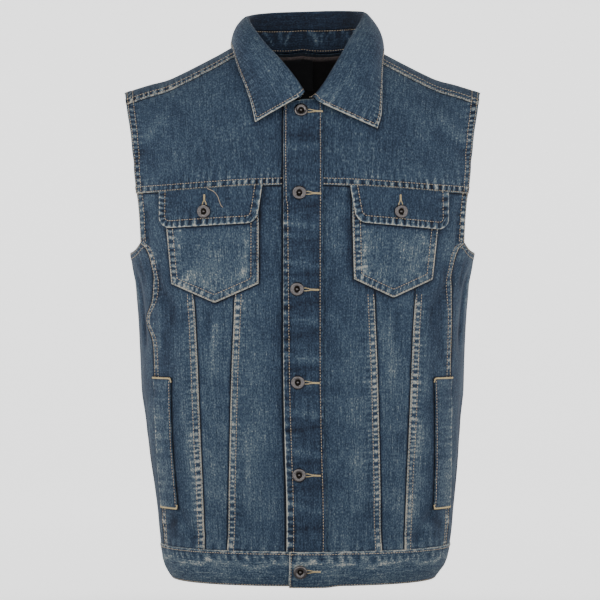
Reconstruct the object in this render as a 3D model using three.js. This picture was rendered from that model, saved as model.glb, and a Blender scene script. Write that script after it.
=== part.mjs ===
import * as THREE from "three";

// A sleeveless denim jacket (trucker cut), filled out as when it is worn, with nobody in it.
// Millimetres. +Z is up, the front faces -Y, and the wearer's left side is +X.
// The origin lies midway between the two side neck points, at the height where the shoulders carry the vest.
//
// Every piece of cloth lies on one form. A place on the form has two coordinates:
//   turn  degrees round the body: 0 centre front, 90 the wearer's left side, 180 centre back
//   rise  below the chest line in millimetres (negative), above it in degrees over the shoulder (90 = ridge)

const { clamp, degToRad, radToDeg, lerp } = THREE.MathUtils;

// Cloth and seams
const CLOTH = 1.6;
const DOUBLE_CLOTH = 2.6;
const SEAM_GAP = 0.3;
const LAYER_GAP = 0.4;
const FELL_WIDTH = 9.5;
const FELL_RISE = 0.9;
const FELL_STEP = 1.2;
const FELL_TOP = -315;

// The form
const CHEST_LINE = -200;
const SECTION_POWER = 2.3;
const SHOULDER_HALF_WIDTH = 250;
const FRONT_SLOPE = 0.15;
const BACK_FULLNESS = 0.1;
const BEND_START = 25;
const BAND_TOP = -621;
const HEM = -664;
const ARMHOLE_BASE = -255;
const ARMHOLE_CORNER = -243;
const FRONT_YOKE_RISE = 6.4;
const BACK_YOKE_RISE = 11;

// Neck oval
const NECK_HALF_WIDTH = 80;
const NECK_FRONT_DROP = 54.4;
const NECK_BACK_DROP = 25.8;
const NECK_CLEAR = 2.5;
const SEAM_AT_NECK = 66.5;
const SEAM_AT_ARM = 61.4;

// Button front
const PLACKET_EDGE = -23;
const PLACKET_SEAM = 25;
const STAND_EDGE = 22.4;
const PLACKET_CORNER = { wide: 28, high: 17 };
const BUTTON_RADIUS = 8.5;

const DENIM = { color: 0x3d5268, roughness: 0.9, metalness: 0 };
const BLACK_TAPE = { color: 0x17171a, roughness: 0.85, metalness: 0 };
const METAL = { color: 0x6b625c, roughness: 0.38, metalness: 1 };

// Middle and half width from side to side, and the depths in front and behind, up the body
const SECTIONS = [
  { height: HEM, middle: 1.5, halfWidth: 164.5, front: 110, back: 106 },
  { height: -655, middle: 1.8, halfWidth: 170.8, front: 115.5, back: 111.5 },
  { height: -646, middle: 2.9, halfWidth: 176, front: 118.5, back: 114.5 },
  { height: BAND_TOP, middle: 3.8, halfWidth: 181.5, front: 121, back: 116 },
  { height: -587, middle: 4, halfWidth: 185.5, front: 121.5, back: 116.5 },
  { height: -550, middle: 3.5, halfWidth: 190, front: 122.5, back: 117.5 },
  { height: -503, middle: 2, halfWidth: 195.3, front: 124, back: 119 },
  { height: -438, middle: 0.5, halfWidth: 200, front: 125.5, back: 121 },
  { height: -385, middle: 0, halfWidth: 202, front: 126, back: 122.5 },
  { height: -344, middle: 0, halfWidth: 203.8, front: 126, back: 123.5 },
  { height: -311, middle: 0, halfWidth: 206.5, front: 125.5, back: 124 },
  { height: -287, middle: 0, halfWidth: 210.5, front: 125, back: 124 },
  { height: ARMHOLE_BASE, middle: 0, halfWidth: 217, front: 124.5, back: 124 },
  { height: CHEST_LINE, middle: 0, halfWidth: 224.5, front: 124, back: 124 },
];

// Height of the shoulder ridge outwards from the neck
const RIDGE = [
  { out: 0, height: 30 },
  { out: 40, height: 21 },
  { out: 80, height: 8 },
  { out: 108, height: -7 },
  { out: 147, height: -27 },
  { out: 170, height: -37.5 },
  { out: 193, height: -43.5 },
  { out: 226, height: -53.5 },
  { out: 250, height: -60 },
];

// Edge of the armhole out from the middle, for the front and the back
const ARMHOLE = [
  { rise: ARMHOLE_CORNER - CHEST_LINE, front: 200.5, back: 200.5 },
  { rise: 0, front: 203, back: 205 },
  { rise: 8, front: 206, back: 207.5 },
  { rise: 14, front: 208, back: 209 },
  { rise: 22, front: 210.5, back: 211 },
  { rise: 37, front: 214, back: 214.5 },
  { rise: 56, front: 220, back: 220 },
  { rise: 90, front: 226, back: 226 },
];

// Long seams below the yokes. inner and outer are out from the middle, the two side seams are turns.
// The whole front hangs a little to the wearer's left, and the right side seam bows back under the arm.
const FRONT_SHIFT = 2.6;
const SEAM_BOW = { height: -340, reach: 17, turn: 7 };
const SEAMS = [
  { height: BAND_TOP, inner: 94, outer: 122, back: 66, sideFront: 72.5, sideBack: 110 },
  { height: -570, inner: 92.5, outer: 123.5, back: 68, sideFront: 70, sideBack: 111 },
  { height: -500, inner: 91, outer: 126.5, back: 72, sideFront: 66, sideBack: 112.5 },
  { height: -404, inner: 88.5, outer: 130, back: 78.5, sideFront: 63.5, sideBack: 114 },
  { height: -344, inner: 86, outer: 133, back: 83.5, sideFront: 63, sideBack: 115 },
  { height: -300, inner: 84.5, outer: 136, back: 87, sideFront: 60.5, sideBack: 115.5 },
  { height: -265, inner: 83.5, outer: 137, back: 90, sideFront: 58.8, sideBack: 116 },
  { height: -250, inner: 83, outer: 137.5, back: 91, sideFront: 61, sideBack: 115.5 },
  { height: ARMHOLE_CORNER, inner: 83, outer: 137.5, back: 92, sideFront: 65, sideBack: 115 },
  { height: -150, inner: 82, outer: 138, back: 99, sideFront: 65, sideBack: 115 },
];

// Heights of the rows of points below the chest line, from the band up
const ROWS = [
  -621, -597, -570, -540, -510, -480, -450, -420, -390, -362, -338, -319, -309, -286, -264, -243, -222, -200,
];

// Soft folds: a line from one place to another, with its half width and depth (a trough is negative)
const FOLDS = [
  { turn: 66, height: -262, toTurn: 47, toHeight: -330, halfWidth: 11, depth: -2.6 },
  { turn: 77, height: -270, toTurn: 74, toHeight: -390, halfWidth: 12, depth: -3.4 },
  { turn: 90, height: -275, toTurn: 91, toHeight: -470, halfWidth: 15, depth: 2.6 },
  { turn: 56, height: -575, toTurn: 43, toHeight: -612, halfWidth: 10, depth: -2.8 },
  { turn: 20, height: -560, toTurn: 30, toHeight: -615, halfWidth: 14, depth: -2.2 },
  { turn: 44, height: -345, toTurn: 42, toHeight: -520, halfWidth: 15, depth: 2.2 },
  { turn: 15, height: -330, toTurn: 14, toHeight: -600, halfWidth: 17, depth: 1.8 },
  { turn: 81, height: -420, toTurn: 84, toHeight: -600, halfWidth: 15, depth: -2.4 },
  { turn: 104, height: -275, toTurn: 108, toHeight: -400, halfWidth: 13, depth: -3 },
  { turn: 122, height: -300, toTurn: 131, toHeight: -430, halfWidth: 15, depth: -3 },
  { turn: 140, height: -230, toTurn: 147, toHeight: -380, halfWidth: 19, depth: 2.6 },
  { turn: 136, height: -480, toTurn: 141, toHeight: -605, halfWidth: 17, depth: -2.8 },
  { turn: 168, height: -430, toTurn: 164, toHeight: -610, halfWidth: 18, depth: 2.4 },
  { turn: 126, height: -215, toTurn: 141, toHeight: -175, halfWidth: 12, depth: -2.2 },
];
const FOLD_DEGREE = 3.3;
const FOLD_END = 0.22;

// Buttons down the front: out from the middle, and height
const BUTTONS = [
  { name: "button_1", out: -1.6, height: -84 },
  { name: "button_2", out: -3.8, height: -185 },
  { name: "button_3", out: -6.5, height: -302 },
  { name: "button_4", out: -5.6, height: -415 },
  { name: "button_5", out: -4.1, height: -527.5 },
  { name: "button_6", out: -2.5, height: -644.5 },
];

// Chest pockets: the patch hangs from under the flap, and its foot is a shallow point
const POCKETS = {
  right: { corner: -295, point: -318.5, innerTop: 53, innerFoot: 53.2, outerTop: 169.5, outerFoot: 159.5 },
  left: { corner: -289.5, point: -312, innerTop: 60, innerFoot: 62.5, outerTop: 169.5, outerFoot: 158.5 },
};
const POCKET_TOP = -187;
const FLAPS = {
  right: { innerTop: 48.5, innerFoot: 53.5, outer: 173.5, innerHeight: -221, outerHeight: -227 },
  left: { innerTop: 57.5, innerFoot: 63, outer: 177, innerHeight: -220, outerHeight: -229 },
};
const FLAP_CORNER = 14;
const FLAP_BUTTON = { out: 118, height: -207 };
const WELT = { top: -412, foot: -572, innerTurnTop: 50.8, innerTurnFoot: 54.6, clearOfSeam: 0.5 };

// Collar sections from the wearer's right front round the back to the left front.
// neck is degrees round the neck oval (0 front, 180 back, negative on the wearer's right), roll is the top of
// the fold, and the outer edge lies on the form, edgeOut from the middle and edgeOver the shoulder.
const COLLAR = [
  { neck: -2, rollX: 3, rollY: -104, rollZ: -59, edgeOut: -57.5, edgeOver: 151.7, swell: 3 },
  { neck: -16, rollX: -8, rollY: -99, rollZ: -42, edgeOut: -61.5, edgeOver: 145.5, swell: 5 },
  { neck: -32, rollX: -25, rollY: -86, rollZ: -20, edgeOut: -69, edgeOver: 136.5, swell: 7 },
  { neck: -50, rollX: -45, rollY: -64, rollZ: 3, edgeOut: -78, edgeOver: 126, swell: 8 },
  { neck: -68, rollX: -59, rollY: -38, rollZ: 24, edgeOut: -83.5, edgeOver: 114, swell: 7 },
  { neck: -86, rollX: -66, rollY: -10, rollZ: 39, edgeOut: -87.5, edgeOver: 96, swell: 5 },
  { neck: -106, rollX: -65, rollY: 18, rollZ: 46.5, edgeOut: -87, edgeOver: 79, swell: 4 },
  { neck: -132, rollX: -52, rollY: 42, rollZ: 53, edgeOut: -72, edgeOver: 66, swell: 4 },
  { neck: -156, rollX: -30, rollY: 54, rollZ: 56.5, edgeOut: -40, edgeOver: 61, swell: 4 },
  { neck: -180, rollX: 1, rollY: 58, rollZ: 58, edgeOut: 1, edgeOver: 60, swell: 4 },
  { neck: -204, rollX: 33, rollY: 54, rollZ: 58.5, edgeOut: 43, edgeOver: 61, swell: 4 },
  { neck: -228, rollX: 61, rollY: 42, rollZ: 57, edgeOut: 79, edgeOver: 66, swell: 4 },
  { neck: -254, rollX: 76, rollY: 18, rollZ: 52, edgeOut: 98.5, edgeOver: 79, swell: 5 },
  { neck: -274, rollX: 74, rollY: -10, rollZ: 41, edgeOut: 100.5, edgeOver: 97, swell: 7 },
  { neck: -292, rollX: 65, rollY: -38, rollZ: 23, edgeOut: 98.5, edgeOver: 115, swell: 9 },
  { neck: -310, rollX: 53, rollY: -62, rollZ: 0, edgeOut: 97.5, edgeOver: 129.5, swell: 9 },
  { neck: -328, rollX: 38, rollY: -83, rollZ: -27, edgeOut: 97, edgeOver: 139.5, swell: 7 },
  { neck: -343, rollX: 26, rollY: -97, rollZ: -48, edgeOut: 96, edgeOver: 146, swell: 5 },
  { neck: -354, rollX: 15, rollY: -105, rollZ: -66, edgeOut: 91.5, edgeOver: 152, swell: 3 },
];
const COLLAR_CLOTH = 2.2;
const COLLAR_CELLS = 34;
const STAND_SHARE = 0.55;
const FOLD_RADIUS = 3.4;

// Millimetres in a degree over the shoulder, near the chest
const RISE_DEGREE = 2.8;

// Smooth curve through a table: the value of column `wanted` where column `by` equals `at`
function read(table, by, wanted, at) {
  let i = 1;
  while (i < table.length - 1 && table[i][by] < at) i += 1;
  const a = table[i - 1];
  const b = table[i];
  const before = table[i - 2] ?? a;
  const after = table[i + 1] ?? b;
  const span = b[by] - a[by];
  const t = clamp((at - a[by]) / span, 0, 1);
  const slopeA = (span * (b[wanted] - before[wanted])) / (b[by] - before[by]);
  const slopeB = (span * (after[wanted] - a[wanted])) / (after[by] - a[by]);
  const t2 = t * t;
  const t3 = t2 * t;
  return (
    (2 * t3 - 3 * t2 + 1) * a[wanted] +
    (t3 - 2 * t2 + t) * slopeA +
    (3 * t2 - 2 * t3) * b[wanted] +
    (t3 - t2) * slopeB
  );
}

const smooth = (t) => THREE.MathUtils.smoothstep(t, 0, 1);
const heightOf = (rise) => CHEST_LINE + Math.min(rise, 0);
const ridgeHeight = (out) => read(RIDGE, "out", "height", Math.min(Math.abs(out), 250));

const middleAt = (rise) => read(SECTIONS, "height", "middle", heightOf(rise));

function halfWidthAt(rise) {
  const below = read(SECTIONS, "height", "halfWidth", heightOf(rise));
  return rise <= 0 ? below : lerp(below, SHOULDER_HALF_WIDTH, Math.sin(degToRad(rise)));
}

// The bare form, with no folds
function formPoint(turn, rise) {
  const angle = degToRad(turn);
  const share = 2 / SECTION_POWER;
  const across = Math.sign(Math.sin(angle)) * Math.abs(Math.sin(angle)) ** share;
  const deep = Math.abs(Math.cos(angle)) ** share;
  const isFront = Math.cos(angle) >= 0;
  const x = middleAt(rise) + halfWidthAt(rise) * across;
  const reach = read(SECTIONS, "height", isFront ? "front" : "back", heightOf(rise));
  const depth = reach * deep * (isFront ? -1 : 1);
  if (rise <= 0) return new THREE.Vector3(x, depth, CHEST_LINE + rise);
  const over = degToRad(rise);
  const turned = Math.sin(2 * over) * smooth(rise / BEND_START);
  const bend = isFront ? 1 - FRONT_SLOPE * turned : 1 + BACK_FULLNESS * turned;
  const height = CHEST_LINE + (ridgeHeight(x) - CHEST_LINE) * Math.sin(over);
  return new THREE.Vector3(x, depth * Math.cos(over) * bend, height);
}

function formNormal(turn, rise) {
  const step = 0.4;
  const round = formPoint(turn + step, rise).sub(formPoint(turn - step, rise));
  const up = formPoint(turn, rise + (rise > 89.5 ? 0 : step)).sub(formPoint(turn, rise - step));
  return round.cross(up).normalize();
}

// Depth of the folds at a place; both halves of the body have the same ones
function foldDepth(turn, height) {
  const here = Math.abs(((turn + 180) % 360) - 180) * FOLD_DEGREE;
  let depth = 0;
  for (const fold of FOLDS) {
    const run = new THREE.Vector2((fold.toTurn - fold.turn) * FOLD_DEGREE, fold.toHeight - fold.height);
    const to = new THREE.Vector2(here - fold.turn * FOLD_DEGREE, height - fold.height);
    const along = clamp(to.dot(run) / run.lengthSq(), 0, 1);
    const away = Math.abs(to.cross(run)) / run.length();
    const past = Math.max(0, -to.dot(run) / run.length(), to.dot(run) / run.length() - run.length());
    const ends = smooth(along / FOLD_END) * smooth((1 - along) / FOLD_END);
    depth += fold.depth * ends * Math.exp(-((away / fold.halfWidth) ** 2) - past);
  }
  return depth;
}

// A point of the cloth, `off` millimetres outside the form's own surface
function onCloth(turn, rise, off) {
  const point = formPoint(turn, rise);
  const fold = foldDepth(turn, point.z);
  return point.addScaledVector(formNormal(turn, rise), off + fold);
}

// The turn at a distance out from the middle of the section
function turnAt(out, rise, isBack = false) {
  const across = Math.min(Math.abs(out) / halfWidthAt(rise), 1);
  const turn = radToDeg(Math.asin(across ** (SECTION_POWER / 2)));
  return (out < 0 ? -1 : 1) * (isBack ? 180 - turn : turn);
}

// The rise at a height, close to a distance out from the middle
function riseAt(height, out) {
  if (height <= CHEST_LINE) return height - CHEST_LINE;
  return radToDeg(Math.asin(Math.min((height - CHEST_LINE) / (ridgeHeight(out) - CHEST_LINE), 1)));
}

// A closed wall from a grid of inner and outer points
function wallFromGrid(columns, rows, corners) {
  const place = [];
  for (let row = 0; row <= rows; row += 1) {
    for (let column = 0; column <= columns; column += 1) {
      const { inner, outer } = corners(column, row);
      place.push(inner, outer);
    }
  }
  const index = [];
  const id = (column, row, side) => 2 * (row * (columns + 1) + column) + side;
  const quad = (a, b, c, d) => index.push(a, b, c, a, c, d);
  for (let row = 0; row < rows; row += 1) {
    for (let column = 0; column < columns; column += 1) {
      quad(id(column, row, 1), id(column + 1, row, 1), id(column + 1, row + 1, 1), id(column, row + 1, 1));
      quad(id(column, row, 0), id(column, row + 1, 0), id(column + 1, row + 1, 0), id(column + 1, row, 0));
    }
  }
  for (let column = 0; column < columns; column += 1) {
    quad(id(column, 0, 0), id(column + 1, 0, 0), id(column + 1, 0, 1), id(column, 0, 1));
    quad(id(column, rows, 0), id(column, rows, 1), id(column + 1, rows, 1), id(column + 1, rows, 0));
  }
  for (let row = 0; row < rows; row += 1) {
    quad(id(0, row, 0), id(0, row, 1), id(0, row + 1, 1), id(0, row + 1, 0));
    quad(id(columns, row, 0), id(columns, row + 1, 0), id(columns, row + 1, 1), id(columns, row, 1));
  }
  return solidGeometry(place, index);
}

// Faces are turned round where a mirrored grid has them pointing in
function solidGeometry(place, index) {
  let volume = 0;
  for (let i = 0; i < index.length; i += 3) {
    const [a, b, c] = [place[index[i]], place[index[i + 1]], place[index[i + 2]]];
    volume += a.dot(new THREE.Vector3().crossVectors(b, c));
  }
  if (volume < 0) index.reverse();
  const geometry = new THREE.BufferGeometry().setFromPoints(place);
  geometry.setIndex(index);
  geometry.computeVertexNormals();
  return geometry;
}

const vest = new THREE.Group();

function add(name, geometry, look) {
  const mesh = new THREE.Mesh(geometry, new THREE.MeshStandardMaterial(look));
  mesh.name = name;
  vest.add(mesh);
  return mesh;
}

const sides = [
  { side: -1, word: "right" },
  { side: 1, word: "left" },
];

// Long panels between two seams
const CORNER_RISE = ARMHOLE_CORNER - CHEST_LINE;
const lengthUp = (rise) => (rise > 0 ? rise * RISE_DEGREE : rise);
const upTo = (column, rise) => read(SEAMS, "height", column, CHEST_LINE + lengthUp(rise));
const frontSeam = (column, side) => (rise) =>
  turnAt(upTo(column, rise) + side * (FRONT_SHIFT - middleAt(rise)), rise);
const backSeam = (rise) => turnAt(upTo("back", rise), rise, true);
const sideSeamBack = (rise) => read(SEAMS, "height", "sideBack", Math.min(rise, CORNER_RISE) + CHEST_LINE);
const sideSeamFront = (side) => (rise) => {
  const height = Math.min(rise, CORNER_RISE) + CHEST_LINE;
  const bow = SEAM_BOW.turn * Math.exp(-(((height - SEAM_BOW.height) / SEAM_BOW.reach) ** 2));
  return read(SEAMS, "height", "sideFront", height) + (side < 0 ? bow : 0);
};
const armholeFront = (rise) => turnAt(read(ARMHOLE, "rise", "front", rise), rise);
const armholeBack = (rise) => turnAt(read(ARMHOLE, "rise", "back", rise), rise, true);
const frontOuterEdge = (side) => (rise) => (rise > CORNER_RISE ? armholeFront(rise) : sideSeamFront(side)(rise));
const backOuterEdge = (rise) => (rise > CORNER_RISE ? armholeBack(rise) : sideSeamBack(rise));
const DEGREES_PER_MM = 1 / FOLD_DEGREE;

// Columns of a panel in millimetres from its first edge, closer together at a felled strip
function columnsFor(width, cells, fellFirst, fellLast) {
  const start = fellFirst ? [0, FELL_WIDTH, FELL_WIDTH + FELL_STEP] : [0];
  const end = fellLast ? [width - FELL_WIDTH - FELL_STEP, width - FELL_WIDTH, width] : [width];
  const from = start.at(-1);
  const to = end[0];
  const middle = Array.from({ length: cells - 1 }, (_, i) => lerp(from, to, (i + 1) / cells));
  return [...start, ...middle, ...end];
}

function bodyPanel({ first, last, side, cells, fellFirst, fellLast, topRise }) {
  const rises = ROWS.map((height) => height - CHEST_LINE);
  rises[0] += SEAM_GAP / 2;
  rises.push(topRise - SEAM_GAP / 2 / RISE_DEGREE);
  const middle = rises[Math.floor(rises.length / 2)];
  const width = formPoint(first(middle), middle).distanceTo(formPoint(last(middle), middle));
  const columns = columnsFor(width, cells, fellFirst, fellLast);
  const gap = (SEAM_GAP / 2) * DEGREES_PER_MM;
  return wallFromGrid(columns.length - 1, rises.length - 1, (column, row) => {
    const rise = rises[row];
    const share = columns[column] / width;
    const turn = side * lerp(first(rise) + gap, last(rise) - gap, share);
    const isFell = (fellFirst && column < 2) || (fellLast && column > columns.length - 3);
    const isUnderPocket = Math.abs(turn) < 90 && rise + CHEST_LINE > FELL_TOP;
    const off = CLOTH + (isFell && !isUnderPocket ? FELL_RISE : 0);
    return { inner: onCloth(turn, rise, 0), outer: onCloth(turn, rise, off) };
  });
}

for (const { side, word } of sides) {
  const inFront = side < 0 ? PLACKET_SEAM + SEAM_GAP : STAND_EDGE + SEAM_GAP;
  const centreEdge = (rise) => Math.abs(turnAt(inFront, rise));
  const toFront = { side, topRise: FRONT_YOKE_RISE };
  const innerSeam = frontSeam("inner", side);
  const outerSeam = frontSeam("outer", side);
  const toBack = { side, topRise: BACK_YOKE_RISE };
  add(
    `front_centre_${word}`,
    bodyPanel({ ...toFront, first: centreEdge, last: innerSeam, cells: 3, fellLast: true }),
    DENIM,
  );
  add(
    `front_middle_${word}`,
    bodyPanel({ ...toFront, first: innerSeam, last: outerSeam, cells: 3 }),
    DENIM,
  );
  add(
    `front_side_${word}`,
    bodyPanel({ ...toFront, first: outerSeam, last: frontOuterEdge(side), cells: 4, fellFirst: true }),
    DENIM,
  );
  add(
    `back_side_${word}`,
    bodyPanel({ ...toBack, first: backOuterEdge, last: backSeam, cells: 5, fellLast: true }),
    DENIM,
  );
}

function centreBack() {
  const lastSeam = (rise) => 360 - backSeam(rise);
  return bodyPanel({ first: backSeam, last: lastSeam, side: 1, cells: 8, topRise: BACK_YOKE_RISE });
}
add("back_centre", centreBack(), DENIM);

// Side panel under the arm. Its top edge is the foot of the armhole.
function armholeFoot(turn) {
  return ARMHOLE_BASE + (ARMHOLE_CORNER - ARMHOLE_BASE) * (Math.abs(turn - 90) / 25) ** 4;
}

function sidePanel(side) {
  const lastShared = ROWS.indexOf(-338);
  const toCorner = ROWS.indexOf(ARMHOLE_CORNER);
  const cells = 8;
  const gap = (SEAM_GAP / 2) * DEGREES_PER_MM;
  return wallFromGrid(cells, toCorner, (column, row) => {
    const height = ROWS[row] + (row === 0 ? SEAM_GAP / 2 : 0);
    const rise = height - CHEST_LINE;
    const turn = lerp(sideSeamFront(side)(rise) + gap, sideSeamBack(rise) - gap, column / cells);
    const shared = ROWS[lastShared];
    const shrink = Math.min((armholeFoot(turn) - shared) / (ARMHOLE_CORNER - shared), 1);
    const fitted = row > lastShared ? shared + (height - shared) * shrink : height;
    return {
      inner: onCloth(side * turn, fitted - CHEST_LINE, 0),
      outer: onCloth(side * turn, fitted - CHEST_LINE, CLOTH),
    };
  });
}

// Front yoke, from the yoke seam to the shoulder seam
const CUT_HALF_WIDTH = NECK_HALF_WIDTH + NECK_CLEAR;
const CUT_FRONT_DROP = NECK_FRONT_DROP + NECK_CLEAR / RISE_DEGREE;
const CUT_BACK_DROP = NECK_BACK_DROP + NECK_CLEAR / RISE_DEGREE;
const neckOut = (rise) => CUT_HALF_WIDTH * Math.sqrt(Math.max(1 - ((90 - rise) / CUT_FRONT_DROP) ** 2, 0));
const neckRise = (out) => 90 - CUT_FRONT_DROP * Math.sqrt(1 - (out / CUT_HALF_WIDTH) ** 2);
const YOKE_SHARES = [0, 0.03, 0.07, 0.15, 0.3, 0.45, 0.6, 0.75, 0.88, 1];
const YOKE_FELL = FELL_WIDTH / RISE_DEGREE - 0.6;
const YOKE_FELL_STEP = 0.4;
const shoulderSeam = (share) => lerp(SEAM_AT_NECK, SEAM_AT_ARM, share);

function frontYoke(side) {
  const inFront = side < 0 ? PLACKET_SEAM + SEAM_GAP : STAND_EDGE + SEAM_GAP;
  const corner = neckRise(inFront);
  const bottom = FRONT_YOKE_RISE + SEAM_GAP / 2 / RISE_DEGREE;
  const fellTop = bottom + YOKE_FELL;
  const levels = [bottom, fellTop, fellTop + YOKE_FELL_STEP, 15, 22, 28, corner, 42, 46, 52, 59, SEAM_AT_NECK];
  return wallFromGrid(YOKE_SHARES.length - 1, levels.length - 1, (column, row) => {
    const share = YOKE_SHARES[column];
    const top = shoulderSeam(share) - SEAM_GAP / 2 / RISE_DEGREE;
    const isUpper = row > 2;
    const start = levels[2];
    const scaled = lerp(start, top, (levels[row] - start) / (SEAM_AT_NECK - start));
    const rise = isUpper ? scaled : levels[row];
    const inner = levels[row] > corner ? Math.max(neckOut(rise), inFront) : inFront;
    const out = lerp(inner, read(ARMHOLE, "rise", "front", rise), share);
    const turn = side * turnAt(out, rise);
    const off = CLOTH + (row < 2 && column > 1 ? FELL_RISE : 0);
    return { inner: onCloth(turn, rise, 0), outer: onCloth(turn, rise, off) };
  });
}

for (const { side, word } of sides) {
  add(`side_panel_${word}`, sidePanel(side), DENIM);
  add(`front_yoke_${word}`, frontYoke(side), DENIM);
}

// A place over the shoulder: over runs from the back (0) across the ridge (90) to the front (180)
function overShoulder(out, over, off) {
  const isBack = over <= 90;
  const rise = isBack ? over : 180 - over;
  return onCloth(turnAt(out, rise, isBack), rise, off);
}

function armholeOver(over) {
  return over <= 90 ? read(ARMHOLE, "rise", "back", over) : read(ARMHOLE, "rise", "front", 180 - over);
}

// Degrees round the neck oval: 0 at the front, 180 at the back
function neckEdge(angle, clear = 0) {
  const cosine = Math.cos(degToRad(angle));
  const drop = (cosine > 0 ? NECK_FRONT_DROP : NECK_BACK_DROP) + clear / RISE_DEGREE;
  return { out: (NECK_HALF_WIDTH + clear) * Math.sin(degToRad(angle)), over: 90 + drop * cosine };
}

// Back yoke: from the back yoke seam over the shoulders to the shoulder seams in front
function backYoke() {
  const seamAngle = radToDeg(Math.acos((90 - SEAM_AT_NECK) / CUT_FRONT_DROP));
  const neckAngles = [180, 166, 152, 138, 124, 110, 98, 87, 76, seamAngle];
  const neckTops = neckAngles.map((angle) => neckEdge(angle, NECK_CLEAR));
  const seamTops = YOKE_SHARES.slice(1).map((share) => {
    const rise = shoulderSeam(share);
    const seamEnd = read(ARMHOLE, "rise", "front", rise);
    return { out: lerp(neckOut(SEAM_AT_NECK), seamEnd, share), over: 180 - rise };
  });
  const half = [...neckTops, ...seamTops];
  const footShares = [
    0, 0.055, 0.11, 0.16, 0.21, 0.26, 0.3, 0.34, 0.38, 0.42, 0.44, 0.47, 0.53, 0.6, 0.68, 0.77, 0.86, 0.94, 1,
  ];
  const levels = [0, 0.07, 0.2, 0.36, 0.52, 0.66, 0.78, 0.87, 0.95, 1];
  const bottom = BACK_YOKE_RISE + SEAM_GAP / 2 / RISE_DEGREE;
  const count = half.length - 1;
  return wallFromGrid(2 * count, levels.length - 1, (column, row) => {
    const k = Math.abs(column - count);
    const side = Math.sign(column - count) || 1;
    const top = half[k];
    const topOver = top.over + (k >= neckTops.length - 1 ? -SEAM_GAP / 2 / RISE_DEGREE : 0);
    const over = lerp(bottom, topOver, levels[row]);
    const topShare = top.out / armholeOver(topOver);
    const out = lerp(footShares[k], topShare, levels[row] ** 3) * armholeOver(over);
    const isRaised = row === 0 || (k >= neckTops.length - 1 && row > levels.length - 3);
    return {
      inner: overShoulder(side * out, over, 0),
      outer: overShoulder(side * out, over, CLOTH + (isRaised ? FELL_RISE : 0)),
    };
  });
}
add("back_yoke", backYoke(), DENIM);

// Button stand (under, on the wearer's right) and placket (over, on the wearer's left)
function frontStrip(outs, off, thick, corner) {
  const rises = ROWS.map((height) => height - CHEST_LINE);
  rises[0] += SEAM_GAP / 2;
  const upper = [4, 8, 11, 15, 18.5, 22, 28];
  const rows = [...rises, ...upper, 100];
  return wallFromGrid(outs.length - 1, rows.length - 1, (column, row) => {
    const out = outs[column];
    const inCorner = corner ? Math.max(1 - (out - PLACKET_EDGE) / corner.wide, 0) : 0;
    const cut = corner ? corner.high * (1 - Math.sqrt(1 - inCorner ** 2)) : 0;
    const top = neckRise(out) - cut / RISE_DEGREE;
    const rise = row === rows.length - 1 ? top : Math.min(rows[row], top - 1);
    const turn = turnAt(out, rise);
    return { inner: onCloth(turn, rise, off), outer: onCloth(turn, rise, off + thick) };
  });
}
const PLACKET_OFF = CLOTH + LAYER_GAP;
const standOuts = [-PLACKET_SEAM, -12, 0, 12, STAND_EDGE];
const placketOuts = [PLACKET_EDGE, -22, -19, -13, -5, 5, 15, PLACKET_SEAM];
add("button_stand", frontStrip(standOuts, 0, CLOTH, null), DENIM);
add("placket", frontStrip(placketOuts, PLACKET_OFF, DOUBLE_CLOTH, PLACKET_CORNER), DENIM);

// Chest pocket and flap
const PATCH_OFF = CLOTH + LAYER_GAP;
const FLAP_OFF = PATCH_OFF + CLOTH + 1.5 * LAYER_GAP;
const FLAP_CLOTH = 2;
const WELT_CLOTH = 2.4;

function pocketPatch(side, { corner, point, innerTop, innerFoot, outerTop, outerFoot }) {
  const shares = [0, 0.09, 0.25, 0.4, 0.5, 0.6, 0.75, 0.91, 1];
  const levels = [0, 0.17, 0.33, 0.5, 0.66, 0.83, 0.93, 1];
  return wallFromGrid(shares.length - 1, levels.length - 1, (column, row) => {
    const share = shares[column];
    const down = levels[row];
    const foot = lerp(corner, point, 1 - Math.abs(2 * share - 1));
    const out = lerp(lerp(innerTop, innerFoot, down), lerp(outerTop, outerFoot, down), share);
    const rise = riseAt(lerp(POCKET_TOP, foot, down), out);
    const turn = side * turnAt(out, rise);
    return { inner: onCloth(turn, rise, PATCH_OFF), outer: onCloth(turn, rise, PATCH_OFF + CLOTH) };
  });
}

function pocketFlap(side, { innerTop, innerFoot, outer, innerHeight, outerHeight }) {
  const shares = [0, 0.03, 0.08, 0.2, 0.35, 0.5, 0.65, 0.8, 0.92, 0.97, 1];
  const levels = [0, 0.3, 0.6, 0.82, 1];
  return wallFromGrid(shares.length - 1, levels.length - 1, (column, row) => {
    const share = shares[column];
    const out = lerp(lerp(innerTop, innerFoot, levels[row]), outer, share);
    const fromEnd = Math.min(share, 1 - share) * (outer - innerFoot);
    const inCorner = Math.max(FLAP_CORNER - fromEnd, 0);
    const cut = FLAP_CORNER - Math.sqrt(FLAP_CORNER ** 2 - inCorner ** 2);
    const foot = lerp(innerHeight, outerHeight, share) + cut;
    const top = FRONT_YOKE_RISE - SEAM_GAP / RISE_DEGREE;
    const footRise = riseAt(foot, out);
    const topLength = top * RISE_DEGREE;
    const along = lerp(topLength, footRise, levels[row]);
    const rise = along > 0 ? along / RISE_DEGREE : along;
    const turn = side * turnAt(out, rise);
    return { inner: onCloth(turn, rise, FLAP_OFF), outer: onCloth(turn, rise, FLAP_OFF + FLAP_CLOTH) };
  });
}

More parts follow.
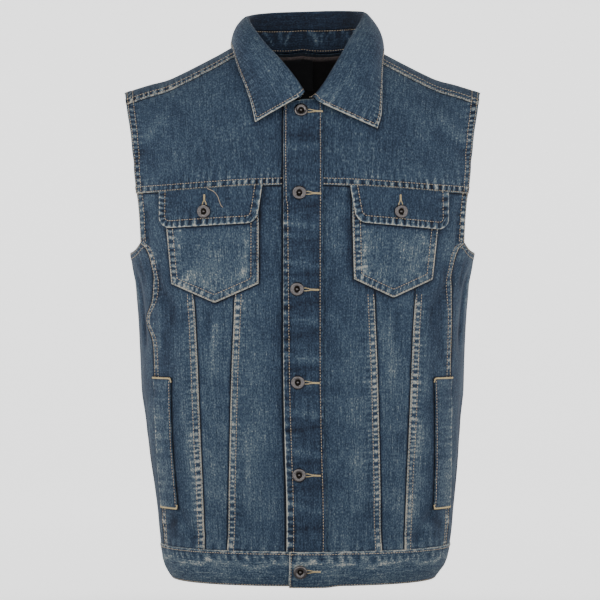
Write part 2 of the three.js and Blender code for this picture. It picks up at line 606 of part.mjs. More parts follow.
function handWelt(side) {
  const rows = 6;
  const cells = 3;
  return wallFromGrid(cells, rows, (column, row) => {
    const rise = lerp(WELT.foot, WELT.top, row / rows) - CHEST_LINE;
    const inner = lerp(WELT.innerTurnFoot, WELT.innerTurnTop, row / rows);
    const outer = sideSeamFront(side)(rise) - WELT.clearOfSeam * DEGREES_PER_MM;
    const turn = side * lerp(inner, outer, column / cells);
    return { inner: onCloth(turn, rise, PATCH_OFF), outer: onCloth(turn, rise, PATCH_OFF + WELT_CLOTH) };
  });
}

for (const { side, word } of sides) {
  add(`chest_pocket_${word}`, pocketPatch(side, POCKETS[word]), DENIM);
  add(`pocket_flap_${word}`, pocketFlap(side, FLAPS[word]), DENIM);
  add(`hand_welt_${word}`, handWelt(side), DENIM);
}

// Waistband: the wearer's left end lies over the right end at the front
const BAND_HEIGHTS = [HEM, -657, -646, -633, BAND_TOP - SEAM_GAP / 2];
const BAND_OFF = -0.7;
const BAND_CLOTH = 3.2;
const BAND_OVER = BAND_CLOTH + LAYER_GAP;
const BAND_JOIN = 110;

function waistband(turns, offAt) {
  return wallFromGrid(turns.length - 1, BAND_HEIGHTS.length - 1, (column, row) => {
    const rise = BAND_HEIGHTS[row] - CHEST_LINE;
    const turn = turns[column];
    const off = BAND_OFF + offAt(turn);
    return { inner: onCloth(turn, rise, off), outer: onCloth(turn, rise, off + BAND_CLOTH) };
  });
}

const bandTurn = (out) => turnAt(out, BAND_TOP - CHEST_LINE);
const joinGap = (SEAM_GAP / 2) * DEGREES_PER_MM;
const liftFrom = bandTurn(24);
const liftTo = bandTurn(52);
const overlapLift = (turn) => BAND_OVER * (1 - smooth((turn - liftFrom) / (liftTo - liftFrom)));
const leftBandTurns = [-19.5, -8, 8, 24, 33, 43, 52].map(bandTurn);
const bandTail = [24, 33, 42, 51, 60, 68, 76, 84, 93, 102];
add("waistband_left", waistband([...leftBandTurns, ...bandTail, BAND_JOIN - joinGap], overlapLift), DENIM);
const rightBandTurns = [-BAND_JOIN + joinGap, ...bandTail.map((turn) => -turn).reverse()];
const underTurns = [-52, -30, -12, 4, 20].map(bandTurn);
add("waistband_right", waistband([...rightBandTurns, ...underTurns], () => 0), DENIM);
const backCells = 16;
const backEnd = BAND_JOIN + joinGap;
const backTurns = Array.from({ length: backCells + 1 }, (_, i) => lerp(backEnd, 360 - backEnd, i / backCells));
add("waistband_back", waistband(backTurns, () => 0), DENIM);

// Collar: a stand on the neck edge, and a fall that goes on up, folds over and comes down outside
const COLLAR_OFF = CLOTH / 2;
const FALL_REST = 1.2;
const FALL_REST_PLACKET = 0.8;
const PLACKET_REACH = 30;
const FALL_OFF = CLOTH + COLLAR_CLOTH / 2 + FALL_REST;
const FALL_OFF_PLACKET = PLACKET_OFF + DOUBLE_CLOTH + COLLAR_CLOTH / 2 + FALL_REST_PLACKET;
const fallOff = (out) => (Math.abs(out) < PLACKET_REACH ? FALL_OFF_PLACKET : FALL_OFF);

function collarRow(share) {
  const at = lerp(0, COLLAR.length - 1, share);
  const rows = COLLAR.map((row, place) => ({ ...row, place }));
  const get = (column) => read(rows, "place", column, at);
  const { out, over } = neckEdge(get("neck"));
  const onForm = (off) => overShoulder(get("edgeOut"), get("edgeOver"), off);
  return {
    neck: overShoulder(out, over, COLLAR_OFF),
    roll: new THREE.Vector3(get("rollX"), get("rollY"), get("rollZ")),
    edge: onForm(fallOff(get("edgeOut"))),
    edgeNormal: onForm(1).sub(onForm(0)),
    swell: get("swell"),
  };
}

// Lifts a point of the fall until it is clear of the cloth under it
function liftClear(point) {
  let nearest = { distance: Infinity };
  for (let over = 30; over <= 160; over += 1) {
    const skin = overShoulder(point.x, over, 0);
    const distance = skin.distanceTo(point);
    if (distance < nearest.distance) nearest = { distance, skin, over };
  }
  const normal = overShoulder(point.x, nearest.over, 1).sub(nearest.skin);
  const off = point.clone().sub(nearest.skin).dot(normal);
  return point.addScaledVector(normal, Math.max(fallOff(point.x) - off, 0));
}

// Middle line of the collar at one section, from the neck seam over the fold to the fall's edge
function collarLine(share) {
  const { neck, roll, edge, edgeNormal, swell } = collarRow(share);
  const step = 0.004;
  const before = collarRow(Math.max(share - step, 0));
  const after = collarRow(Math.min(share + step, 1));
  const up = roll.clone().sub(neck).normalize();
  const round = after.roll.add(after.neck).sub(before.roll).sub(before.neck);
  const out = up.clone().cross(round).normalize();
  const stem = (t) => neck.clone().lerp(roll, t);
  const over = (angle) => roll
    .clone()
    .addScaledVector(out, FOLD_RADIUS * (1 - Math.cos(degToRad(angle))))
    .addScaledVector(up, FOLD_RADIUS * (Math.sin(degToRad(angle)) - 1));
  const start = over(150);
  const bulge = out.clone().add(edgeNormal).normalize();
  const swollen = (t) => start.clone().lerp(edge, t).addScaledVector(bulge, 4 * swell * t * (1 - t));
  const fallPoint = (t) => liftClear(swollen(t));
  return {
    stand: [0, 0.5, 1].map((t) => stem(t * STAND_SHARE)),
    fall: [
      stem(STAND_SHARE).addScaledVector(up, SEAM_GAP),
      stem(0.78),
      ...[0, 60, 120].map(over),
      ...[0.16, 0.38, 0.62, 0.82, 1].map(fallPoint),
    ],
  };
}

// A wall of the collar: its middle lines, thickened to both sides
function collarWall(part) {
  const lines = Array.from({ length: COLLAR_CELLS + 1 }, (_, i) => collarLine(i / COLLAR_CELLS)[part]);
  const rows = lines[0].length - 1;
  return wallFromGrid(COLLAR_CELLS, rows, (column, row) => {
    const here = lines[column][row];
    const alongA = lines[Math.max(column - 1, 0)][row];
    const alongB = lines[Math.min(column + 1, COLLAR_CELLS)][row];
    const upA = lines[column][Math.max(row - 1, 0)];
    const upB = lines[column][Math.min(row + 1, rows)];
    const normal = alongB.clone().sub(alongA).cross(upB.clone().sub(upA)).normalize();
    return {
      inner: here.clone().addScaledVector(normal, -COLLAR_CLOTH / 2),
      outer: here.clone().addScaledVector(normal, COLLAR_CLOTH / 2),
    };
  });
}
add("collar_stand", collarWall("stand"), DENIM);
add("collar_fall", collarWall("fall"), DENIM);

// Dark facing and a bare woven label inside the back neck
const NECK_FACING = { half: 70, topDrop: 1.5, footMiddle: 38, footEnd: 84, off: -2.1, thick: 1 };
const LABEL = { from: -24, to: 14, foot: 45, topDrop: 3, off: -3.4, thick: 1 };

function insideBack(outs, levels, topOver, footOver, off, thick) {
  return wallFromGrid(outs.length - 1, levels - 1, (column, row) => {
    const out = outs[column];
    const over = lerp(footOver(out), topOver(out), row / (levels - 1));
    return { inner: overShoulder(out, over, off), outer: overShoulder(out, over, off + thick) };
  });
}
const backNeck = (out) => 90 - CUT_BACK_DROP * Math.sqrt(1 - (out / CUT_HALF_WIDTH) ** 2);
const facingShares = [-1, -0.93, -0.8, -0.6, -0.4, -0.2, 0, 0.2, 0.4, 0.6, 0.8, 0.93, 1];
const facingOuts = facingShares.map((share) => share * NECK_FACING.half);
const facingTop = (out) => backNeck(out) - NECK_FACING.topDrop;
const facingFoot = (out) => {
  const share = Math.sqrt(1 - (out / NECK_FACING.half / 1.02) ** 2);
  return Math.min(lerp(NECK_FACING.footEnd, NECK_FACING.footMiddle, share), backNeck(out) - 5);
};
add(
  "neck_facing",
  insideBack(facingOuts, 6, facingTop, facingFoot, NECK_FACING.off, NECK_FACING.thick),
  BLACK_TAPE,
);
const labelOuts = [0, 0.25, 0.5, 0.75, 1].map((share) => lerp(LABEL.from, LABEL.to, share));
add(
  "neck_label",
  insideBack(labelOuts, 4, (out) => backNeck(out) - LABEL.topDrop, () => LABEL.foot, LABEL.off, LABEL.thick),
  BLACK_TAPE,
);

// Shank buttons: a ring-shaped cap with a sunk middle
const BUTTON_PROFILE = [
  [0, 0], [3.4, 0], [3.4, 1], [7.4, 1], [BUTTON_RADIUS, 1.9], [8.2, 3.1], [7.2, 3.7],
  [4.4, 3.5], [3, 2.3], [1.5, 2.3], [1, 3], [0, 3.2],
];

function addButton(name, turn, rise, off) {
  const profile = BUTTON_PROFILE.map(([radius, height]) => new THREE.Vector2(radius, height));
  const geometry = new THREE.LatheGeometry(profile, 14);
  geometry.rotateX(Math.PI / 2);
  const button = add(name, geometry, METAL);
  const normal = formNormal(turn, rise);
  button.position.copy(onCloth(turn, rise, off));
  button.quaternion.setFromUnitVectors(new THREE.Vector3(0, 0, 1), normal);
}

for (const { name, out, height } of BUTTONS) {
  const rise = riseAt(height, out);
  const isOnBand = height < BAND_TOP;
  const off = isOnBand ? BAND_OFF + BAND_OVER + BAND_CLOTH : PLACKET_OFF + DOUBLE_CLOTH;
  addButton(name, turnAt(out - middleAt(rise), rise), rise, off + LAYER_GAP);
}
for (const { side, word } of sides) {
  const rise = riseAt(FLAP_BUTTON.height, FLAP_BUTTON.out);
  const turn = side * turnAt(FLAP_BUTTON.out, rise);
  addButton(`flap_button_${word}`, turn, rise, FLAP_OFF + FLAP_CLOTH + LAYER_GAP);
}

export default vest;
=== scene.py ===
# %% [markdown]
# # A worn denim vest, dressed over its plain model
# The plain model gives every cut piece of the vest as a wall of cloth at its real place. It has no folds
# finer than a few centimetres, no stitching and no colour. This script puts a finer sheet of denim over
# each piece, with its creases, its puckered seams and its wear, and then sews it with rows of real thread.

# %% The plain model
import math
import bpy
import numpy as np
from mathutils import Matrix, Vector
from mathutils.bvhtree import BVHTree
from mathutils.kdtree import KDTree


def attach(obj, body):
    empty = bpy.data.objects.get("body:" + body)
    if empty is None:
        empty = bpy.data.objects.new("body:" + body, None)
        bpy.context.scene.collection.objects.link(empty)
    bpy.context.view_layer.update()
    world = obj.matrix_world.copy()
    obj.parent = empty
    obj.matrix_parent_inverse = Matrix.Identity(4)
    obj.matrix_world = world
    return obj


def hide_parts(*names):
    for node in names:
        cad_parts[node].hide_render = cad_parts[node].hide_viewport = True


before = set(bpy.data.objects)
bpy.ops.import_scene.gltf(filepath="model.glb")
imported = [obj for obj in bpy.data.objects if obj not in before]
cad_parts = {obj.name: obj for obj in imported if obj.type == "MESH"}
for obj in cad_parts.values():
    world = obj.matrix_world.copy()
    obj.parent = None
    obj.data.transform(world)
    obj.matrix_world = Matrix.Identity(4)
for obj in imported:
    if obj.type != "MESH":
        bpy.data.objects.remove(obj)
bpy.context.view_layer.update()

MM = 0.001
print("plain model:", len(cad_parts), "pieces of cloth and buttons")

# %% [markdown]
# ## Stage
# A photograph in a shop catalogue is lit softly from all round. A round tent of white fabric does that: its
# wall glows by itself, and a broad lamp high on the left gives the cloth its form. The camera looks level
# at the middle of the vest from nearly three metres, through a long lens, so the shape isn't distorted.
# Seen from any side, the vest then stands before the same pale wall.

# %% Small helpers for colours and nodes
def paint(code):
    """A colour written as sRGB hex, turned to the linear values that Blender works in."""
    parts = [int(code[i:i + 2], 16) / 255 for i in (1, 3, 5)]
    return [c / 12.92 if c <= 0.04045 else ((c + 0.055) / 1.055) ** 2.4 for c in parts] + [1]


def node(tree, kind, inputs=None, **settings):
    """Adds a node, sets its properties, and fills or links its inputs."""
    made = tree.nodes.new(kind)
    for name, value in settings.items():
        setattr(made, name, value)
    for name, value in (inputs or {}).items():
        if isinstance(value, bpy.types.NodeSocket):
            tree.links.new(value, made.inputs[name])
        else:
            made.inputs[name].default_value = value
    return made


def new_finish(name, **settings):
    """A new material with its shader set. Also its tree, its shader, and the place on the object."""
    material = bpy.data.materials.new(name)
    material.use_nodes = True
    tree = material.node_tree
    shader = tree.nodes["Principled BSDF"]
    for key, value in settings.items():
        shader.inputs[key.replace("_", " ")].default_value = value
    return material, tree, shader, node(tree, "ShaderNodeTexCoord").outputs["Object"]


def put(name, data):
    """Puts a mesh, a lamp or a camera in the scene."""
    made = bpy.data.objects.new(name, data)
    bpy.context.scene.collection.objects.link(made)
    return made


print("middle denim blue in linear values:", [round(c, 3) for c in paint("#2F3E4D")[:3]])

# %% [markdown]
# The floor lies a little below the hem and curves up into the wall, so no edge shows behind the vest. The
# floor close to the vest doesn't glow, or the cloth would be lit from below, which a studio avoids.

# %% Tent
FLOOR_HEIGHT, WALL_GLOW = -0.86, 1.5
GLOW_STARTS, GLOW_FULL = 1.0, 1.7  # metres away from the vest
PROFILE = [(0.01, 0), (1.5, 0), (3.0, 0), (3.5, 0.08), (3.8, 0.35), (3.9, 0.8), (3.9, 3.6)]  # out, up
SIDES_OF_TENT = 48

def tent_fabric():
    """White all over. Its wall and the outer floor glow, and the floor under the vest doesn't."""
    material, tree, shader, place = new_finish(
        "glowing_white_tent_fabric", Base_Color=paint("#B4B4B4"), Emission_Color=(1, 1, 1, 1), Roughness=0.9)
    away = node(tree, "ShaderNodeVectorMath", {0: place}, operation="LENGTH").outputs["Value"]
    glow = node(tree, "ShaderNodeMapRange",
                {"Value": away, "From Min": GLOW_STARTS, "From Max": GLOW_FULL, "To Max": WALL_GLOW},
                interpolation_type="SMOOTHSTEP")
    tree.links.new(glow.outputs["Result"], shader.inputs["Emission Strength"])
    return material


def make_stage():
    """A round floor that curves up into the tent's wall."""
    count = SIDES_OF_TENT
    turns = np.arange(count) * 2 * np.pi / count
    points = [(r * math.cos(t), r * math.sin(t), FLOOR_HEIGHT + z) for r, z in PROFILE for t in turns]
    faces = [(r * count + i, r * count + (i + 1) % count,
              (r + 1) * count + (i + 1) % count, (r + 1) * count + i)
             for r in range(len(PROFILE) - 1) for i in range(count)]
    mesh = bpy.data.meshes.new("light_tent")
    mesh.from_pydata(points, [], faces)
    mesh.materials.append(tent_fabric())
    mesh.polygons.foreach_set("use_smooth", np.ones(len(faces), dtype=bool))
    put("light_tent", mesh)
    print("tent:", len(faces), "faces")


make_stage()

# %% [markdown]
# The lamp is a disk a metre across, so its shadows are soft, and a weak even light from all round fills
# them.

# %% Lamp, room light and camera
LAMP_PLACE, LAMP_AIM, LAMP_SIZE, LAMP_WATTS = (-1.4, -1.9, 1.6), (0, 0, -0.3), 1.0, 13
ROOM_LIGHT = 0.25
CAMERA_PLACE, LENS, SENSOR = (-0.003, -2.9, -0.315), 137.0, 36.0

lamp_data = bpy.data.lights.new("key_lamp", "AREA")
lamp_data.shape, lamp_data.size, lamp_data.energy = "DISK", LAMP_SIZE, LAMP_WATTS
lamp = put("key_lamp", lamp_data)
lamp.location = LAMP_PLACE
lamp.rotation_euler = (Vector(LAMP_AIM) - Vector(LAMP_PLACE)).to_track_quat("-Z", "Y").to_euler()

world = bpy.data.worlds.new("soft_room")
bpy.context.scene.world = world
world.use_nodes = True
world.node_tree.nodes["Background"].inputs["Color"].default_value = (1, 1, 1, 1)
world.node_tree.nodes["Background"].inputs["Strength"].default_value = ROOM_LIGHT

camera_data = bpy.data.cameras.new("camera")
camera_data.lens, camera_data.sensor_width = LENS, SENSOR
camera = put("camera", camera_data)
camera.location = CAMERA_PLACE
camera.rotation_euler = (math.radians(90), 0, 0)
bpy.context.scene.camera = camera
print("camera to vest:", round(-camera.location.y, 2), "m")

# %% [markdown]
# ## The form
# The vest is filled out as if somebody wore it, so all its cloth lies on one smooth form. The form is a
# stack of rounded sections below the chest and bends over a shoulder ridge above it. A place on it has two
# coordinates: the turn in degrees round the body, 0 at the front and 90 at the wearer's left, and the rise,
# which is millimetres below the chest line and degrees over the shoulder above it. Working out every piece
# from the same formula keeps them all in contact, which separate modelling never quite does.

# %% Tables of the form
CHEST, BAND_TOP, HEM = -200.0, -621.0, -664.0  # heights in mm; 0 is where the shoulders carry the vest
CORNER, FOOT = -243.0, -255.0                  # of the armhole
YOKE_RISE, BACK_YOKE_RISE = 6.4, 11.0          # of the yokes' lower seams
RISE_MM = 2.8     # cloth up for a degree over the shoulder, near enough
TURN_MM = 3.3     # cloth across for a degree of turn, near enough
POWER = 2 / 2.3   # a little squarer than an ellipse
RIDGE_END = 250

SECTIONS = np.array([  # height, middle, half width, depth in front, depth behind
    [-664, 1.5, 164.5, 110, 106], [-655, 1.8, 170.8, 115.5, 111.5], [-646, 2.9, 176, 118.5, 114.5],
    [-621, 3.8, 181.5, 121, 116], [-587, 4, 185.5, 121.5, 116.5], [-550, 3.5, 190, 122.5, 117.5],
    [-503, 2, 195.3, 124, 119], [-438, 0.5, 200, 125.5, 121], [-385, 0, 202, 126, 122.5],
    [-344, 0, 203.8, 126, 123.5], [-311, 0, 206.5, 125.5, 124], [-287, 0, 210.5, 125, 124],
    [-255, 0, 217, 124.5, 124], [-200, 0, 224.5, 124, 124]])
RIDGE = np.array([  # out from the middle, height of the shoulder
    [0, 30], [40, 21], [80, 8], [108, -7], [147, -27], [170, -37.5], [193, -43.5], [226, -53.5], [250, -60]])
ARMHOLE = np.array([  # rise, edge out from the middle in front, and behind
    [-43, 200.5, 200.5], [0, 203, 205], [8, 206, 207.5], [14, 208, 209], [22, 210.5, 211],
    [37, 214, 214.5], [56, 220, 220], [90, 226, 226]])
SEAMS = np.array([  # height, inner seam out, outer seam out, back seam out, side seam turns front and back
    [-621, 94, 122, 66, 72.5, 110], [-570, 92.5, 123.5, 68, 70, 111], [-500, 91, 126.5, 72, 66, 112.5],
    [-404, 88.5, 130, 78.5, 63.5, 114], [-344, 86, 133, 83.5, 63, 115], [-300, 84.5, 136, 87, 60.5, 115.5],
    [-265, 83.5, 137, 90, 58.8, 116], [-250, 83, 137.5, 91, 61, 115.5], [-243, 83, 137.5, 92, 65, 115],
    [-150, 82, 138, 99, 65, 115]])
INNER, OUTER, BACK, SIDE_FRONT, SIDE_BACK = 1, 2, 3, 4, 5
FOLDS = np.array([  # turn and height of both ends, half width and depth, for both halves of the body
    [66, -262, 47, -330, 11, -2.6], [77, -270, 74, -390, 12, -3.4], [90, -275, 91, -470, 15, 2.6],
    [56, -575, 43, -612, 10, -2.8], [20, -560, 30, -615, 14, -2.2], [44, -345, 42, -520, 15, 2.2],
    [15, -330, 14, -600, 17, 1.8], [81, -420, 84, -600, 15, -2.4], [104, -275, 108, -400, 13, -3],
    [122, -300, 131, -430, 15, -3], [140, -230, 147, -380, 19, 2.6], [136, -480, 141, -605, 17, -2.8],
    [168, -430, 164, -610, 18, 2.4], [126, -215, 141, -175, 12, -2.2]])
print("form:", len(SECTIONS), "sections,", len(FOLDS), "long folds on each half of the body")

# %% [markdown]
# A smooth curve joins the rows of each table. From those curves come the point of the form at a turn and a
# rise, the way straight out of it, and the way back from a plain distance and height to a turn and a rise.

# %% Reading a table
def smooth(t):
    """0 below 0, 1 above 1, and a soft step between."""
    t = np.clip(t, 0, 1)
    return t * t * (3 - 2 * t)


def read(table, column, at):
    """A column of a table where its first column equals at, on a smooth curve through the rows."""
    x, y = table[:, 0], table[:, column]
    slope = np.gradient(y, x)
    slope[1:-1] = (y[2:] - y[:-2]) / (x[2:] - x[:-2])
    i = np.clip(np.searchsorted(x, at, side="left") - 1, 0, len(x) - 2)
    span = x[i + 1] - x[i]
    t = np.clip((at - x[i]) / span, 0, 1)
    return ((2 * t**3 - 3 * t**2 + 1) * y[i] + (t**3 - 2 * t**2 + t) * span * slope[i]
            + (3 * t**2 - 2 * t**3) * y[i + 1] + (t**3 - t**2) * span * slope[i + 1])


print("half width at the band:", read(SECTIONS, 2, np.array(BAND_TOP)).round(1), "mm")

# %% Points of the form
def ridge(out):
    return read(RIDGE, 1, np.minimum(np.abs(out), RIDGE_END))


def middle_at(rise):
    return read(SECTIONS, 1, CHEST + np.minimum(rise, 0))


def half_width(rise):
    below = read(SECTIONS, 2, CHEST + np.minimum(rise, 0))
    return below + (RIDGE_END - below) * np.sin(np.radians(np.maximum(rise, 0)))


def form_point(turn, rise):
    """Above the chest line the section loses its depth and rises to the ridge, a little full on the way."""
    angle, over = np.radians(turn), np.radians(np.maximum(rise, 0))
    height = CHEST + np.minimum(rise, 0)
    x = middle_at(rise) + half_width(rise) * np.sign(np.sin(angle)) * np.abs(np.sin(angle)) ** POWER
    deep = np.abs(np.cos(angle)) ** POWER
    in_front = np.cos(angle) >= 0
    turned = np.sin(2 * over) * smooth(rise / 25)
    y_front = -read(SECTIONS, 3, height) * (1 - 0.15 * turned)
    y_back = read(SECTIONS, 4, height) * (1 + 0.1 * turned)
    y = np.where(in_front, y_front, y_back) * deep * np.cos(over)
    z = height + (ridge(x) - CHEST) * np.sin(over)
    return np.stack([x, y, z], axis=-1)


def form_normal(turn, rise):
    """The way straight out, from the points a small step to each side."""
    step, top = 0.4, 89.5
    around = form_point(turn + step, rise) - form_point(turn - step, rise)
    up = form_point(turn, rise + np.where(rise > top, 0, step)) - form_point(turn, rise - step)
    normal = np.cross(around, up)
    return normal / np.linalg.norm(normal, axis=-1, keepdims=True)


print("the chest in front:", form_point(np.array(0.0), np.array(0.0)).round(1), "mm")

# %% [markdown]
# The photograph gives places as distances out from the middle and heights, so those are turned back into a
# turn and a rise.

# %% Back from plain distances
def turn_at(out, rise, behind=False):
    """The turn at a distance out from the middle of the section."""
    across = np.minimum(np.abs(out) / half_width(rise), 1)
    turn = np.degrees(np.arcsin(across ** (1 / POWER)))
    return np.where(out < 0, -1, 1) * np.where(behind, 180 - turn, turn)


def rise_at(height, out):
    """The rise at a height, near a distance out from the middle."""
    above = np.degrees(np.arcsin(np.clip((height - CHEST) / (ridge(out) - CHEST), 0, 1)))
    return np.where(height <= CHEST, height - CHEST, above)


print("a place 100 mm out at the chest:", turn_at(np.array(100.0), np.array(0.0)).round(1), "degrees")

# %% [markdown]
# A fold is a straight soft hump or hollow. It is deepest along a line between two places, and fades to
# nothing at both ends and to both sides.

# %% Depth of the folds
def fold_depth(turn, height, folds):
    """Adds up a table of folds: turn and height at both ends, half width and depth."""
    fading = 0.22  # the share of its length in which each end fades
    here = np.abs((turn + 180) % 360 - 180) * TURN_MM
    depth = np.zeros_like(height)
    for turn_a, height_a, turn_b, height_b, half, deep in folds:
        run = np.array([(turn_b - turn_a) * TURN_MM, height_b - height_a])
        length = np.hypot(*run)
        to_x, to_y = here - turn_a * TURN_MM, height - height_a
        along = (to_x * run[0] + to_y * run[1]) / length
        away = np.abs(to_x * run[1] - to_y * run[0]) / length
        past = np.maximum(0, np.maximum(-along, along - length))
        share = np.clip(along / length, 0, 1)
        ends = smooth(share / fading) * smooth((1 - share) / fading)
        depth += deep * ends * np.exp(-(away / half) ** 2 - past)
    return depth


print("half width at the chest:", half_width(np.array(0.0)), "mm")
print("height of the ridge at the arm:", ridge(np.array(226.0)).round(1), "mm")

# %% [markdown]
# ## Cloth
# Denim that was sewn and then washed hard has two marks that the eye looks for. Between the rows of a
# double seam it is drawn into a rope of small bumps, dark in the hollows and rubbed pale on top, and every
# folded edge has a pale rim. So each piece carries one attribute, fade_and_shade, from -1 (unworn indigo
# and painted shade) to 1 (rubbed to the white core and painted light), worked out from the same bumps that
# shape the cloth. The colour then agrees with the form. Painted shadow lines where a layer goes under
# another, and painted shade in the hollows of creases, go into the same attribute.

# %% Bumps, wear and painted shadow lines beside a seam or a folded edge
HEM_DEFAULTS = {
    "width": 9.5,         # of the turned strip
    "rows": (1.4, 8.0),   # how far in its rows of stitches lie
    "pitch": 7.5,         # between two bumps
    "depth": 0.32,        # of a bump
    "seed": 0.0,          # shifts the bumps along the edge
    "raised": 0.0,        # how far the whole strip stands up
    "reach": 5.0,         # how far the puckers run on past the strip
    "pale": 0.5,          # strength of all the wear
    "worn": 0.2,          # of it, what rubs the strip evenly
    "dark": 1.6,          # how dark its hollows stay
    "rim": 0.8,           # how pale the very edge is; below 0, how dark a painted shadow line along it is
    "where": 1.0}         # 0 where the hem ends

def rope(along, pitch, seed):
    """Uneven bumps along a seam, from -1 in a hollow to 1 on a bump."""
    phase = along / pitch + 0.3 * np.sin(along / 19.0 + seed) + 0.24 * np.sin(along / 7.7 + 2.3 * seed)
    level = 0.74 + 0.26 * np.sin(along / 57.0 + 1.7 * seed)
    return np.tanh(1.5 * np.sin(2 * np.pi * phase)) * level


def hem_effect(away, along, hem):
    """Relief in mm and fade_and_shade beside an edge. away: distance from the edge. along: distance along
    it.
    """
    hem = {**HEM_DEFAULTS, **hem}
    width, seed, rows = hem["width"], hem["seed"], hem["rows"]
    wave = rope(along + 0.12 * away, hem["pitch"], seed)
    inside = smooth((width + 0.6 - away) / 1.2)
    first, last = (rows[0], rows[-1]) if len(rows) > 1 else (0.8, width)
    block = smooth((away - first + 0.7) / 1.5) * smooth((last + 0.5 - away) / 1.5)
    reach = np.exp(-np.maximum(away - width, 0) / hem["reach"]) * (1 - inside)
    relief = hem["raised"] * inside + hem["depth"] * wave * (1.4 * block + 0.6 * reach)
    rubbed = np.where(wave > 0, 1.2, hem["dark"]) * wave * block
    fade_and_shade = hem["pale"] * (hem["worn"] * inside + rubbed + 0.8 * np.maximum(wave, -0.5) * reach)
    for row in rows:
        relief = relief - 0.4 * np.exp(-((away - row) / 0.9) ** 2)
        fade_and_shade = fade_and_shade - 0.4 * np.exp(-((away - row) / 1.1) ** 2)
    rim = np.exp(-(np.maximum(away - 0.4, 0) / 1.15) ** 2)
    fade_and_shade = fade_and_shade + hem["rim"] * (0.8 + 0.35 * rope(along, 4.3, seed + 4)) * rim
    return relief * hem["where"], fade_and_shade * hem["where"]


print("a rope of bumps, read every 2.5 mm:", rope(np.arange(0, 15, 2.5), 7.5, 0.0).round(2))

# %% [markdown]
# Every piece is a grid of points. Its rows and columns crowd together at the edges and at a felled strip,
# where the form changes quickly, and lie wider apart between.

# %% Distances on a grid
def spans(points):
    """Length along each row of a grid, up to each of its points."""
    steps = np.linalg.norm(np.diff(points, axis=1), axis=2)
    return np.concatenate([np.zeros((len(points), 1)), np.cumsum(steps, axis=1)], axis=1)


def edge_distances(points):
    """Distance of each point of a grid from its four edges."""
    across, along = spans(points), spans(points.swapaxes(0, 1)).T
    return {"left": across, "right": across[:, -1:] - across,
            "bottom": along, "top": along[-1:, :] - along}


def stations(start, end, step=3.0, extra=()):
    """Places from start to end, closer together at both ends and round the extra ones."""
    length = end - start
    inner = np.linspace(1.9, length - 1.9, max(2, round(abs(length) / step)))
    ends = [0, 0.35, 0.9, length - 0.9, length - 0.35, length]
    near = [v for e in extra for v in (e - 0.5, e + 0.7)]
    return start + np.unique(np.round(np.concatenate([ends, inner, near]), 3))


print("stations over 12 mm:", stations(0, 12))

# %% [markdown]
# The grid of the face and a second one for the inner side are joined round the rim. The wall is closed, so
# no light leaks through it and it shows a real thickness at every edge.

# %% The wall of a piece of cloth
cloth_pieces = {}

def add_mesh(name, points, faces, finish, face_finish):
    """A smooth mesh in the scene, from points in mm. face_finish: which finish each face has."""
    mesh = bpy.data.meshes.new(name)
    mesh.from_pydata((points * MM).tolist(), [], faces)
    for material in finish:
        mesh.materials.append(material)
    mesh.polygons.foreach_set("material_index", face_finish)
    mesh.polygons.foreach_set("use_smooth", np.ones(len(mesh.polygons), dtype=bool))
    return put(name, mesh)


def cloth_wall(name, skin, lining, grain, fade_and_shade, outward, finish):
    """A closed wall between two grids, with its grain as a UV map and its wear and painted shade as an
    attribute.
    """
    rows, columns = skin.shape[:2]
    index = np.arange(rows * columns).reshape(rows, columns)
    corners = index[:-1, :-1], index[:-1, 1:], index[1:, 1:], index[1:, :-1]
    front = np.stack(corners, axis=-1).reshape(-1, 4)
    first = skin[rows // 2, columns // 2]
    facing = np.cross(skin[rows // 2, columns // 2 + 1] - first, skin[rows // 2 + 1, columns // 2] - first)
    inside_out = np.dot(facing, outward[rows // 2, columns // 2]) < 0
    count = rows * columns
    ring = np.concatenate([index[0, :-1], index[:-1, -1], index[-1, :0:-1], index[:0:-1, 0]])
    after = np.roll(ring, -1)
    rim = np.stack([ring, ring + count, after + count, after], axis=-1)
    faces = np.concatenate([front, front[:, ::-1] + count, rim])
    if inside_out:
        faces = faces[:, ::-1]
    finish_of = np.repeat([0, 1, 0], [len(front), len(front), len(rim)]).astype(np.int32)
    points = np.concatenate([skin.reshape(-1, 3), lining.reshape(-1, 3)])
    piece = add_mesh(f"{name}_cloth", points, faces.tolist(), finish, finish_of)
    mesh = piece.data
    grain_map = mesh.uv_layers.new(name="grain")
    corner = np.empty(len(mesh.loops), dtype=np.int32)
    mesh.loops.foreach_get("vertex_index", corner)
    flat = np.tile(grain.reshape(-1, 2), (2, 1)) * MM
    grain_map.uv.foreach_set("vector", flat[corner].ravel().astype(np.float32))
    wear_and_shade = mesh.attributes.new("fade_and_shade", "FLOAT", "POINT")
    wear_and_shade.data.foreach_set("value", np.tile(fade_and_shade.ravel(), 2).astype(np.float32))
    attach(piece, "root")
    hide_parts(name)
    cloth_pieces[name] = {"skin": skin, "lining": lining, "outward": outward,
                          "edges": edge_distances(skin), "object": piece}
    return piece


# %% [markdown]
# ## Finishes
# The cloth is washed indigo denim, a twill of dark warp yarns over white weft, 0.6 mm apart. The yarns are
# uneven, so the dye has worn off in long thin streaks up the cloth. From a few steps away the diagonal of
# the twill is too fine to see, so it is drawn at 1.5 mm. The streaks follow the grain of each piece, so
# they are drawn on its UV map, which holds the real sizes of the cloth. The broad blotches are drawn in the
# space of the whole vest, because they don't stop at a seam.

